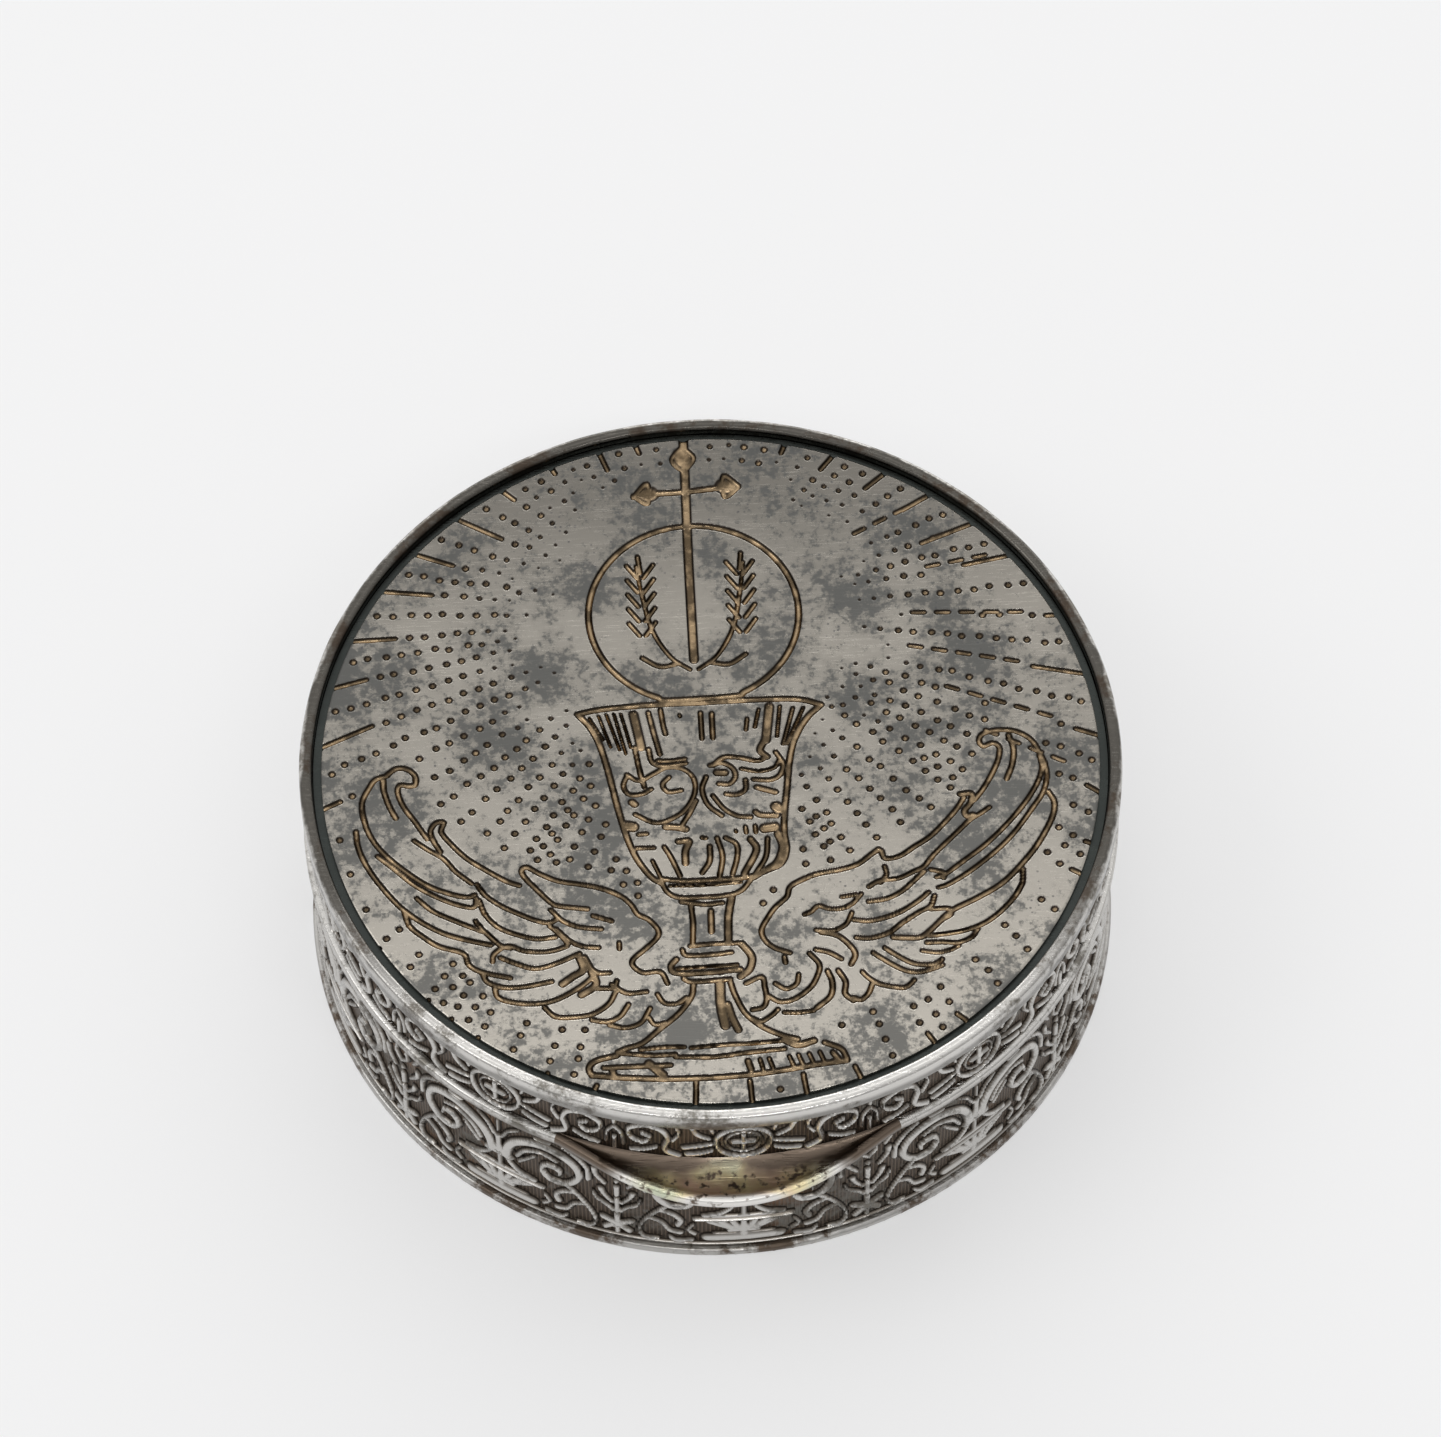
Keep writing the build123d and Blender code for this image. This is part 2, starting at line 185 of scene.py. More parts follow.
# Feathers of the wing on the left
LEFT_WING = (
    (0.42, 1315, 1155, 1290, 1105, 1225, 1105, 1190, 1075, 1190, 1045, 1240, 1000, 1280, 960, 1290, 925,
        1255, 875, 1215, 850, 1190, 805, 1150, 765, 1080, 730, 1010, 710, 920, 690, 850, 655, 800, 622,
        780, 640, 800, 680, 850, 740, 890, 785, 920, 800, 1025, 818),
    (0.42, 770, 702, 720, 680, 640, 625, 570, 570, 510, 500, 480, 450, 490, 410, 462, 410, 440, 440, 445,
        480, 475, 540),
    (0.4, 375, 485, 430, 530, 485, 570, 530, 630, 590, 685),
    (0.4, 610, 690, 640, 740, 700, 790, 770, 830, 830, 860, 880, 870, 910, 850, 885, 815),
    (0.45, 355, 240, 385, 235, 385, 195, 355, 165, 315, 160, 280, 185),
    (0.42, 352, 238, 325, 235, 318, 270, 340, 335, 380, 400, 425, 480),
    (0.45, 262, 205, 265, 260, 285, 330, 308, 382),
    (0.42, 280, 190, 235, 205, 210, 240, 180, 310, 190, 400, 220, 480, 270, 550, 340, 620, 420, 685, 500,
        725, 570, 745, 600, 735),
    (0.4, 235, 548, 300, 610, 370, 680, 450, 735, 530, 775, 595, 790, 605, 750),
    (0.42, 155, 435, 160, 490, 180, 560, 220, 640, 280, 730, 330, 790, 400, 850, 480, 900, 560, 930, 655,
        958),
    (0.4, 380, 740, 440, 800, 520, 845, 600, 885, 625, 895, 600, 850),
    (0.42, 330, 790, 350, 860, 400, 910, 460, 955, 550, 990, 570, 1040, 620, 1075, 725, 1105),
    (0.42, 620, 1080, 640, 1120, 700, 1145, 780, 1145, 880, 1128),
    (0.42, 665, 1150, 680, 1190, 750, 1215, 830, 1220, 900, 1205, 980, 1160, 1040, 1110),
    (0.4, 690, 1015, 750, 1045, 820, 1068, 900, 1050, 990, 1010),
    (0.4, 660, 1030, 668, 995, 720, 965, 780, 990, 860, 998, 920, 985, 945, 965, 900, 905, 880, 885),
    (0.4, 615, 760, 640, 830, 690, 885, 760, 920, 830, 940, 900, 935),
    (0.4, 625, 890, 690, 960, 730, 975),
    (0.4, 895, 825, 930, 865, 990, 895, 1075, 908),
    (0.4, 905, 900, 950, 950, 1000, 980, 1062, 988),
    (0.4, 1045, 848, 1115, 875),
    (0.38, 1140, 970, 1140, 998),
    (0.6, 985, 1020, 1000, 1080, 960, 1110, 920, 1140),
    (0.6, 1005, 1030, 1030, 1090, 1045, 1150, 990, 1190),
    (0.42, 1010, 1050, 1050, 1095, 1100, 1100),
    (0.42, 1050, 1165, 1110, 1165, 1125, 1135),
    (0.42, 1105, 1150, 1160, 1190, 1235, 1188),
    (0.42, 850, 1240, 890, 1280, 960, 1285, 1030, 1275, 1090, 1235, 1120, 1180),
    (0.42, 1025, 1300, 1080, 1310, 1130, 1290, 1165, 1240),
    (0.4, 1090, 1325, 1150, 1340, 1210, 1320, 1245, 1260),
    (0.4, 1240, 1300, 1260, 1330, 1300, 1325),
    (0.4, 1275, 1200, 1300, 1240, 1345, 1245, 1385, 1220),
)

# The engraved cup: its outline, mouldings, scrolls, flutes and foot
CUP_LINES = (
    (0.5, 105, 130, 200, 112, 400, 100, 600, 98, 760, 95, 950, 100, 1045, 130),
    (0.5, 105, 130, 150, 190, 185, 270, 215, 400, 245, 560, 275, 690, 310, 790, 360, 870, 400, 900),
    (0.5, 1045, 130, 985, 190, 935, 280, 910, 380, 895, 500, 880, 610, 875, 700, 880, 775, 855, 835, 790,
        865, 750, 890),
    (0.42, 395, 880, 480, 893, 600, 893, 700, 890, 760, 878),
    (0.42, 400, 900, 420, 940, 460, 965, 540, 968, 640, 965, 700, 945, 740, 895),
    (0.3, 430, 912, 560, 915, 700, 908),
    (0.42, 470, 985, 560, 1000, 625, 996),
    (0.42, 505, 1000, 510, 1080, 505, 1170),
    (0.6, 660, 975, 645, 1060, 640, 1165),
    (0.5, 580, 1030, 578, 1120),
    (0.4, 495, 1180, 580, 1175, 680, 1175),
    (0.42, 465, 1195, 480, 1220, 560, 1222, 650, 1215),
    (0.5, 440, 1235, 418, 1265, 440, 1295, 560, 1298, 680, 1290),
    (0.3, 440, 1275, 560, 1272, 670, 1270),
    (0.6, 690, 1180, 725, 1235, 715, 1290, 680, 1320),
    (0.42, 465, 1320, 490, 1335, 560, 1335, 640, 1330),
    (0.45, 500, 1350, 490, 1400, 440, 1470, 370, 1530, 300, 1590, 240, 1610, 205, 1625),
    (0.45, 640, 1345, 655, 1400, 690, 1480, 750, 1540, 820, 1580, 880, 1600),
    (0.75, 600, 1350, 600, 1440, 612, 1530),
    (0.6, 625, 1440, 640, 1500, 660, 1550),
    (0.36, 290, 1618, 380, 1612, 455, 1615),
    (0.36, 480, 1620, 600, 1612, 720, 1610, 820, 1605),
    (0.4, 210, 1630, 330, 1645, 420, 1645),
    (0.4, 420, 1655, 560, 1662, 700, 1648, 830, 1640),
    (0.6, 830, 1600, 880, 1625, 940, 1610),
    (0.5, 200, 1640, 130, 1655, 98, 1680, 105, 1715, 160, 1725),
    (0.45, 150, 1690, 250, 1690, 400, 1690),
    (0.5, 105, 1720, 250, 1738, 400, 1748, 600, 1748, 780, 1735, 950, 1712, 1060, 1700),
    (0.45, 980, 1620, 1040, 1650, 1060, 1690),
    (0.5, 180, 1700, 190, 1725),
    (0.7, 320, 1680, 370, 1730),
    (0.5, 690, 1685, 700, 1720),
    (0.35, 735, 1680, 745, 1720),
    (0.35, 770, 1678, 782, 1718),
    (0.35, 845, 1672, 860, 1712),
    (0.35, 880, 1668, 895, 1710),
    (0.35, 920, 1665, 935, 1705),
    (0.35, 960, 1660, 975, 1700),
    (0.5, 1010, 1665, 1030, 1695),
    (0.22, 150, 150, 200, 250),
    (0.22, 185, 140, 228, 285),
    (0.22, 215, 135, 262, 300),
    (0.22, 245, 135, 285, 318),
    (0.22, 272, 135, 305, 290),
    (0.7, 320, 140, 345, 290),
    (0.42, 378, 135, 395, 230, 415, 325),
    (0.4, 425, 125, 432, 190, 440, 235),
    (0.4, 320, 290, 335, 400, 350, 470),
    (0.42, 372, 300, 385, 360, 430, 378, 512, 370),
    (0.36, 405, 352, 450, 355, 510, 350),
    (0.4, 578, 145, 580, 262),
    (0.4, 622, 150, 622, 262),
    (0.3, 497, 150, 500, 158),
    (0.3, 803, 140, 785, 220),
    (0.7, 845, 130, 825, 280),
    (0.3, 885, 130, 868, 265),
    (0.34, 935, 140, 890, 300),
    (0.3, 975, 140, 905, 300),
    (0.34, 757, 180, 750, 230),
    (0.55, 818, 285, 800, 325, 825, 355),
    (0.42, 860, 335, 885, 390, 870, 440, 830, 460, 770, 455),
    (0.36, 725, 405, 790, 420, 850, 405, 872, 370),
    (0.42, 615, 385, 660, 350, 720, 355, 790, 372, 820, 355),
    (0.42, 605, 385, 650, 375, 690, 400, 700, 440, 675, 470, 635, 468),
    (0.6, 630, 418, 660, 420),
    (0.4, 738, 455, 735, 500, 700, 520, 660, 515),
    (0.42, 588, 435, 570, 490, 590, 560, 640, 610),
    (0.4, 610, 520, 650, 580, 700, 615, 750, 622),
    (0.5, 780, 490, 850, 515),
    (0.5, 770, 600, 790, 615, 850, 620),
    (0.9, 850, 580, 860, 590),
    (0.8, 800, 675, 840, 670),
    (0.4, 285, 410, 330, 440, 390, 410, 440, 385, 500, 395, 540, 440, 540, 510, 500, 580, 440, 620, 380,
        630, 310, 590),
    (0.42, 545, 540, 520, 590, 490, 640),
    (0.6, 425, 650, 470, 655, 500, 665),
    (0.4, 285, 415, 270, 460, 290, 500, 340, 500, 375, 480),
    (0.6, 300, 535, 310, 545),
    (0.42, 445, 430, 420, 460, 440, 495, 490, 490),
    (0.9, 275, 640, 300, 645),
    (0.4, 320, 680, 350, 678),
    (0.4, 310, 740, 375, 742),
    (0.35, 560, 705, 575, 708),
    (0.3, 690, 680, 692, 684),
    (0.36, 728, 665, 730, 690),
    (0.36, 765, 662, 767, 690),
    (0.55, 470, 718, 510, 718, 495, 760, 493, 815),
    (0.42, 415, 740, 440, 790, 470, 870),
    (0.34, 368, 800, 395, 870),
    (0.45, 588, 745, 585, 810, 555, 860),
    (0.42, 618, 710, 635, 790, 620, 880),
    (0.42, 650, 710, 690, 740, 690, 800, 670, 870),
    (0.55, 745, 720, 765, 770, 715, 870),
    (0.42, 810, 720, 800, 800, 760, 870),
    (0.6, 850, 700, 865, 760, 840, 830, 790, 865),
)

# The cross over the host, and the stalks and leaves of the wheat inside it: (width, points), in millimetres
HOST_LINES = (
    (0.7, ((-0.7, 24.5), (-0.72, 20.0), (-0.75, 15.0), (-0.72, 7.6))),
    (0.55, ((-3.7, 20.4), (-0.7, 20.5), (2.3, 20.8))),
    (1.5, ((-0.8, 23.0), (-0.8, 23.3))),
    (1.3, ((-3.3, 20.4), (-3.0, 20.4))),
    (1.4, ((1.8, 20.8), (2.1, 20.8))),
    (0.45, ((-4.1, 20.2), (-3.2, 21.2), (-3.2, 19.7), (-4.1, 20.3))),
    (0.45, ((2.7, 20.8), (1.8, 21.6), (1.8, 20.0), (2.7, 20.7))),
    (0.4, ((-0.8, 24.0), (-1.5, 23.0), (-0.8, 22.2), (-0.1, 23.1), (-0.8, 24.0))),
    (0.36, ((-1.0, 6.9), (-2.2, 7.9), (-3.3, 10.0), (-3.9, 13.0))),
    (0.36, ((-0.45, 6.9), (0.8, 7.9), (1.9, 10.0), (2.5, 13.0))),
    (0.3, ((-3.9, 13.0), (-4.15, 14.9))),
    (0.3, ((2.5, 13.0), (2.75, 14.9))),
    (0.42, ((-1.7, 7.4), (-2.9, 7.2), (-4.0, 7.9))),
    (0.42, ((0.3, 7.4), (1.5, 7.2), (2.6, 7.9))),
)

# The two ears of wheat: (x, lean) of each stalk's top, and the heights of its grains
WHEAT_STEMS = ((-3.9, -1), (2.5, 1))
WHEAT_GRAINS = (9.6, 10.7, 11.8, 12.9, 14.0)

# Strokes that cut the field's edge, in millimetres: (outer point, inner point)
RIM_STROKES = (
    ((-24.9, 2.0), (-21.3, 3.6)), ((-24.9, -2.6), (-23.4, -1.9)), ((-24.3, 6.4), (-21.6, 7.1)),
    ((-23.6, 10.0), (-19.7, 10.1)), ((-21.1, 13.8), (-17.3, 13.3)), ((-19.1, 16.8), (-15.9, 15.5)),
    ((-16.3, 19.5), (-12.7, 17.4)), ((-13.3, 21.8), (-11.8, 20.4)), ((-9.9, 23.8), (-9.1, 22.3)),
    ((-6.5, 24.6), (-5.7, 22.4)), ((-4.0, 24.8), (-3.6, 23.6)), ((6.2, 24.7), (5.6, 23.2)),
    ((9.4, 23.4), (8.1, 21.8)), ((12.8, 21.8), (10.9, 20.2)), ((15.5, 19.8), (13.2, 18.4)),
    ((18.0, 17.3), (14.3, 15.8)), ((20.4, 14.7), (16.9, 14.0)), ((23.2, 9.9), (21.9, 9.9)),
    ((24.4, 5.3), (20.8, 6.1)), ((24.7, 0.7), (23.2, 1.3)), ((24.7, -3.7), (23.6, -2.9)),
    ((24.0, -7.3), (23.2, -7.0)), ((23.2, -9.6), (22.2, -9.0)), ((15.4, -19.9), (14.4, -19.0)),
    ((13.2, -21.4), (12.5, -20.3)), ((8.4, -23.6), (7.9, -22.4)), ((4.9, -24.4), (4.7, -22.8)),
    ((1.5, -24.8), (1.4, -23.1)), ((-2.0, -24.8), (-1.9, -23.1)), ((-8.5, -23.9), (-8.0, -23.0)),
    ((-11.5, -22.8), (-11.0, -22.0)), ((-15.9, -20.0), (-15.2, -19.3)), ((-17.6, -18.6), (-16.8, -17.9)),
    ((-19.0, -17.3), (-18.2, -16.5)), ((-21.9, -13.0), (-21.2, -12.7)),
)

# Dashed rays on the right: (angle, first radius, last radius) about the host
DASHED_RAYS = ((28.0, 12.0, 16.2), (18.0, 16.4, 17.4), (10.8, 15.4, 19.0), (-2.3, 14.0, 21.6),
               (-12.6, 14.0, 21.0), (-21.5, 17.0, 24.4), (-28.0, 20.5, 26.2))

# Areas that the rows of punched dots stay out of, in millimetres
DOT_FREE = (
    ((-8.6, 5.2), (-7.0, -1), (-5.8, -7.5), (-3.4, -10.5), (-3.4, -15.5), (-8.8, -20.6), (-8.8, -23.5),
     (8.2, -23.5), (8.2, -21), (2.6, -17), (2.4, -10.5), (4.6, -8.5), (5.2, -1.5), (7.6, 5.2)),
    ((2.6, -12.5), (4.6, -9.4), (10.4, -6.6), (15.8, -2.6), (17.4, 1.7), (20.0, 1.4), (21.7, -3.8),
     (20.4, -8.8), (15.6, -14.6), (12.4, -17.2), (6.2, -19.2), (2.6, -19.0)),
    ((-3.6, -12.5), (-5.6, -9.6), (-11.8, -6.8), (-17.0, -3.4), (-18.4, 0.4), (-20.6, 0.8), (-22.8, -4.4),
     (-20.4, -9.8), (-16.0, -14.4), (-13.8, -17.0), (-6.6, -19.2), (-3.0, -18.0)),
)

# Stamped ornament, one repeat: (height, widths at the two ends, points as (distance round, height up))
# Each line is also drawn mirrored about the middle of the repeat.
STAMP_WIDTH = 16.08  # width that the repeat is drawn for, in millimetres
BODY_STAMP = (
    (0.3, 0.95, 0.95, ((0, 1.72), (2.3, 1.72))),
    (0.22, 0.3, 0.3, ((0, 2.25), (1.9, 2.3))),
    (0.28, 0.8, 0.6, ((0, 2.2), (0, 2.8))),
    (0.3, 0.4, 0.4, ((0, 2.75), (0.95, 2.75))),
    (0.3, 0.5, 0.6, ((0, 2.95), (0, 3.95))),
    (0.3, 0.45, 0.6, ((0.3, 2.95), (0.75, 3.95))),
    (0.3, 0.4, 0.6, ((0.6, 2.95), (1.5, 3.95))),
    (0.3, 0.4, 0.6, ((0.9, 3.05), (2.25, 3.95))),
    (0.36, 0.4, 0.4, ((0, 4.25), (3.1, 4.25))),
    (0.3, 0.26, 0.26, ((0, 4.62), (2.6, 4.62))),
    (0.32, 0.42, 0.34, ((2.5, 4.7), (1.5, 5.0), (0.85, 5.6), (0.5, 6.3))),
    (0.24, 0.5, 0.4, ((0, 4.8), (0, 6.0))),
    (0.34, 0.4, 0.4, ((0, 6.25), (0.95, 6.25))),
    (0.4, 0.8, 0.34, ((0.5, 6.5), (0.75, 7.7), (1.5, 8.9), (2.9, 9.7), (4.4, 9.45), (5.4, 8.4), (5.55, 7.0),
                      (4.75, 5.95), (3.65, 5.9), (3.1, 6.7), (3.45, 7.55), (4.2, 7.5), (4.35, 6.95))),
    (0.32, 0.4, 0.26, ((1.35, 7.0), (2.0, 8.15), (3.1, 8.75), (4.2, 8.35))),
    (0.3, 0.36, 0.24, ((1.5, 6.4), (2.2, 7.3), (2.6, 7.9))),
    (0.36, 0.7, 0.3, ((0, 6.6), (0, 8.4))),
    (0.3, 0.34, 0.2, ((0.3, 8.5), (0.8, 9.6), (1.5, 10.3))),
    (0.26, 0.4, 0.2, ((0, 9.1), (0, 10.4))),
    (0.34, 0.34, 0.28, ((4.75, 5.8), (5.6, 4.7), (6.35, 3.3), (6.65, 2.0), (6.2, 1.3), (5.4, 1.35))),
    (0.32, 0.3, 0.55, ((5.3, 5.1), (4.5, 4.7), (4.0, 3.9), (4.15, 3.3))),
    (0.3, 0.28, 0.5, ((6.0, 4.0), (5.2, 3.5), (4.75, 2.6), (4.0, 2.3))),
    (0.28, 0.26, 0.42, ((3.2, 3.4), (3.5, 2.7), (3.1, 2.2))),
    (0.3, 0.4, 0.3, ((3.3, 1.4), (4.3, 1.3), (4.7, 1.7))),
    (0.36, 0.62, 0.5, ((8.04, 2.9), (8.04, 3.6))),
    (0.34, 0.5, 0.55, ((7.75, 2.6), (7.1, 3.0))),
    (0.34, 0.5, 0.55, ((7.75, 2.2), (7.25, 1.7))),
    (0.34, 0.45, 0.5, ((8.04, 2.0), (8.04, 1.4))),
    (0.4, 0.6, 0.6, ((8.04, 2.4), (8.04, 2.45))),
    (0.34, 0.6, 0.16, ((8.04, 4.1), (8.04, 5.7))),
    (0.32, 0.34, 0.2, ((7.8, 4.1), (7.3, 4.8), (6.7, 5.3), (6.5, 6.0))),
    (0.3, 0.3, 0.5, ((7.7, 5.2), (7.2, 6.0), (7.0, 6.6))),
    (0.34, 0.3, 0.62, ((8.04, 6.2), (8.04, 7.2))),
    (0.3, 0.4, 0.4, ((8.04, 7.9), (8.04, 8.0))),
    (0.3, 0.3, 0.5, ((7.3, 7.4), (6.7, 8.3), (6.6, 9.0))),
    (0.32, 0.5, 0.2, ((6.2, 7.4), (6.1, 8.8), (5.4, 9.9), (4.6, 10.5))),
    (0.3, 0.34, 0.3, ((8.04, 8.8), (7.5, 9.5), (7.6, 10.3))),
    (0.26, 0.3, 0.5, ((6.9, 9.7), (6.5, 10.4))),
    (0.3, 0.3, 0.3, ((2.7, 10.35), (3.7, 10.4))),
)
LID_STAMP = (
    (0.36, 0.36, 0.36, ((0, 16.1), (0.9, 15.85), (1.55, 15.1), (1.7, 14.3), (1.5, 13.4), (0.85, 12.75),
                        (0, 12.55))),
    (0.26, 0.2, 0.2, ((0, 15.55), (0.75, 15.2), (1.12, 14.35), (0.75, 13.4), (0, 13.1))),
    (0.36, 0.5, 0.34, ((0, 14.6), (0, 15.2))),
    (0.36, 0.5, 0.34, ((0, 14.1), (0, 13.45))),
    (0.34, 0.4, 0.34, ((0.2, 14.35), (0.65, 14.35))),
    (0.4, 0.5, 0.5, ((0, 14.35), (0.02, 14.35))),
    (0.32, 0.3, 0.55, ((1.95, 13.3), (2.7, 12.9), (3.5, 12.7))),
    (0.3, 0.3, 0.5, ((2.0, 14.1), (2.9, 13.8), (3.7, 13.5))),
    (0.32, 0.3, 0.5, ((2.1, 14.8), (2.9, 15.3), (3.2, 16.1))),
    (0.3, 0.3, 0.4, ((1.9, 15.6), (2.1, 16.2))),
    (0.36, 0.5, 0.3, ((4.0, 12.5), (4.9, 13.2), (4.7, 14.6), (5.2, 15.7), (6.2, 16.0), (7.1, 15.3),
                      (7.0, 14.3), (6.2, 13.9), (5.8, 14.6), (6.3, 15.0))),
    (0.32, 0.34, 0.26, ((4.4, 14.3), (4.0, 15.2), (4.2, 16.2))),
    (0.32, 0.3, 0.4, ((5.4, 13.4), (6.2, 12.9), (7.0, 12.7))),
    (0.34, 0.6, 0.2, ((8.04, 12.6), (8.04, 13.9))),
    (0.3, 0.36, 0.26, ((7.5, 13.2), (7.6, 14.4), (8.04, 15.2))),
    (0.32, 0.4, 0.5, ((8.04, 15.7), (8.04, 16.1))),
)


class Relief:
    """A height map, in millimetres, that lines are drawn into; it can wrap round in X."""

    def __init__(self, low, high, flatness, wraps=False):
        self.low, self.flatness, self.wraps = np.array(low, float), flatness, wraps
        self.span = np.array(high, float) - self.low
        self.shape = tuple(int(round(s / MAP_CELL)) + 1 for s in self.span)
        self.heights = np.zeros(self.shape)

    def line(self, points, width, height, end_width=None):
        """Draws one round-backed line along a smooth curve through the points."""
        path = smooth_path(points)
        end_width = width if end_width is None else end_width
        count = len(path) - 1
        for i in range(count):
            share = (i + 0.5) / count
            self._segment(path[i], path[i + 1], (width + (end_width - width) * share) / 2, height)

    def dot(self, centre, radius, height):
        """Draws one round-backed dot."""
        self._segment(centre, centre, radius, height)

    def _segment(self, a, b, half, height):
        low = np.floor((np.minimum(a, b) - half - self.low) / MAP_CELL).astype(int)
        high = np.ceil((np.maximum(a, b) + half - self.low) / MAP_CELL).astype(int) + 1
        columns = np.arange(low[0], high[0])
        rows = np.arange(max(low[1], 0), min(high[1], self.shape[1]))
        if not self.wraps:
            columns = columns[(columns >= 0) & (columns < self.shape[0])]
        if not len(columns) or not len(rows):
            return
        x = (self.low[0] + columns * MAP_CELL)[:, None]
        y = (self.low[1] + rows * MAP_CELL)[None, :]
        along = b - a
        length2 = max(float(along @ along), 1e-12)
        t = np.clip(((x - a[0]) * along[0] + (y - a[1]) * along[1]) / length2, 0, 1)
        distance = np.hypot(x - a[0] - t * along[0], y - a[1] - t * along[1]) / half
        drawn = height * np.clip(1 - distance**2, 0, 1) ** self.flatness
        where = np.ix_(columns % (self.shape[0] - 1) if self.wraps else columns, rows)
        self.heights[where] = np.maximum(self.heights[where], drawn)

    def at(self, x, y):
        """Heights at points, read between the map's cells."""
        heights = self.heights
        if self.wraps:
            heights[-1] = heights[0]
        fx = (x - self.low[0]) / MAP_CELL
        fy = np.clip((y - self.low[1]) / MAP_CELL, 0, self.shape[1] - 1.001)
        fx = fx % (self.shape[0] - 1) if self.wraps else np.clip(fx, 0, self.shape[0] - 1.001)
        ix, iy = np.floor(fx).astype(int), np.floor(fy).astype(int)
        fx, fy = fx - ix, fy - iy
        low = heights[ix, iy] * (1 - fx) + heights[ix + 1, iy] * fx
        high = heights[ix, iy + 1] * (1 - fx) + heights[ix + 1, iy + 1] * fx
        return low * (1 - fy) + high * fy


def study_lines(table, view):
    """Lines placed on a study view as (width, points), to a hundredth of a millimetre."""
    left, axis_row = view
    for width, *pixels in table:
        x, y = np.array(pixels).reshape(-1, 2).T
        points = np.stack([left + x / STUDY_SCALE, (axis_row - y) / STUDY_SCALE], 1)
        yield width, points.round(2)


def smooth_path(points, steps=5):
    """Points along a Catmull-Rom curve through the given points."""
    p = np.array(points, float)
    if len(p) < 3:
        return p
    p = np.vstack([2 * p[0] - p[1], p, 2 * p[-1] - p[-2]])
    t = (np.arange(steps) / steps)[:, None]
    parts = []
    for a, b, c, d in zip(p, p[1:], p[2:], p[3:]):
        bend = (2 * a - 5 * b + 4 * c - d) * t**2 + (3 * b - a - 3 * c + d) * t**3
        parts.append(0.5 * (2 * b + (c - a) * t + bend))
    return np.vstack(parts + [p[-2:-1]])


def inside(point, outline):
    """Whether a point lies in a polygon."""
    x, y = point
    odd = False
    for (x1, y1), (x2, y2) in zip(outline, outline[1:] + outline[:1]):
        if (y1 > y) != (y2 > y) and x < (x2 - x1) * (y - y1) / (y2 - y1) + x1:
            odd = not odd
    return odd


def heading(angle):
    """A direction in the plane."""
    return np.array((math.cos(angle), math.sin(angle)))


def around_axis(radius, angle, height):
    """Points at angles about the box's axis, turned from the lip at the front."""
    x, y = radius * np.sin(angle), -radius * np.cos(angle)
    return np.stack([x, y, np.broadcast_to(height, np.shape(x))], -1)


def mesh_object(name, points, faces, values=None):
    """A smooth mesh from millimetre points, with its sharp edges and its own attributes."""
    mesh = bpy.data.meshes.new(name)
    mesh.vertices.add(len(points))
    mesh.vertices.foreach_set("co", (np.asarray(points, np.float32) * MM).ravel())
    loops = np.concatenate([np.asarray(f, np.int32).ravel() for f in faces])
    sizes = np.concatenate([np.full(len(f), np.asarray(f).shape[1], np.int32) for f in faces])
    mesh.loops.add(len(loops))
    mesh.loops.foreach_set("vertex_index", loops)
    mesh.polygons.add(len(sizes))
    mesh.polygons.foreach_set("loop_start", np.concatenate([[0], np.cumsum(sizes)[:-1]]).astype(np.int32))
    mesh.polygons.foreach_set("loop_total", sizes)
    for key, data in (values or {}).items():
        layer = mesh.attributes.new(key, "FLOAT", "POINT")
        layer.data.foreach_set("value", np.asarray(data, np.float32))
    mesh.update(calc_edges=True)
    mesh.validate()
    mesh.polygons.foreach_set("use_smooth", np.ones(len(mesh.polygons), bool))
    mesh.set_sharp_from_angle(angle=math.radians(50))
    piece = bpy.data.objects.new(name, mesh)
    bpy.context.scene.collection.objects.link(piece)
    return piece


def carry(piece, body, replaced, material=None):
    """Hands a finished piece to the frame: its body and the CAD node that it replaces."""
    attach(piece, body)
    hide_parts(replaced)
    if material:
        dress(piece, material)


def quad_grid(index, wrap=False):
    """Quads over a 2-D array of point numbers; wrap joins its last column to its first."""
    if wrap:
        index = np.hstack([index, index[:, :1]])
    return np.stack([index[:-1, :-1], index[1:, :-1], index[1:, 1:], index[:-1, 1:]], -1).reshape(-1, 4)


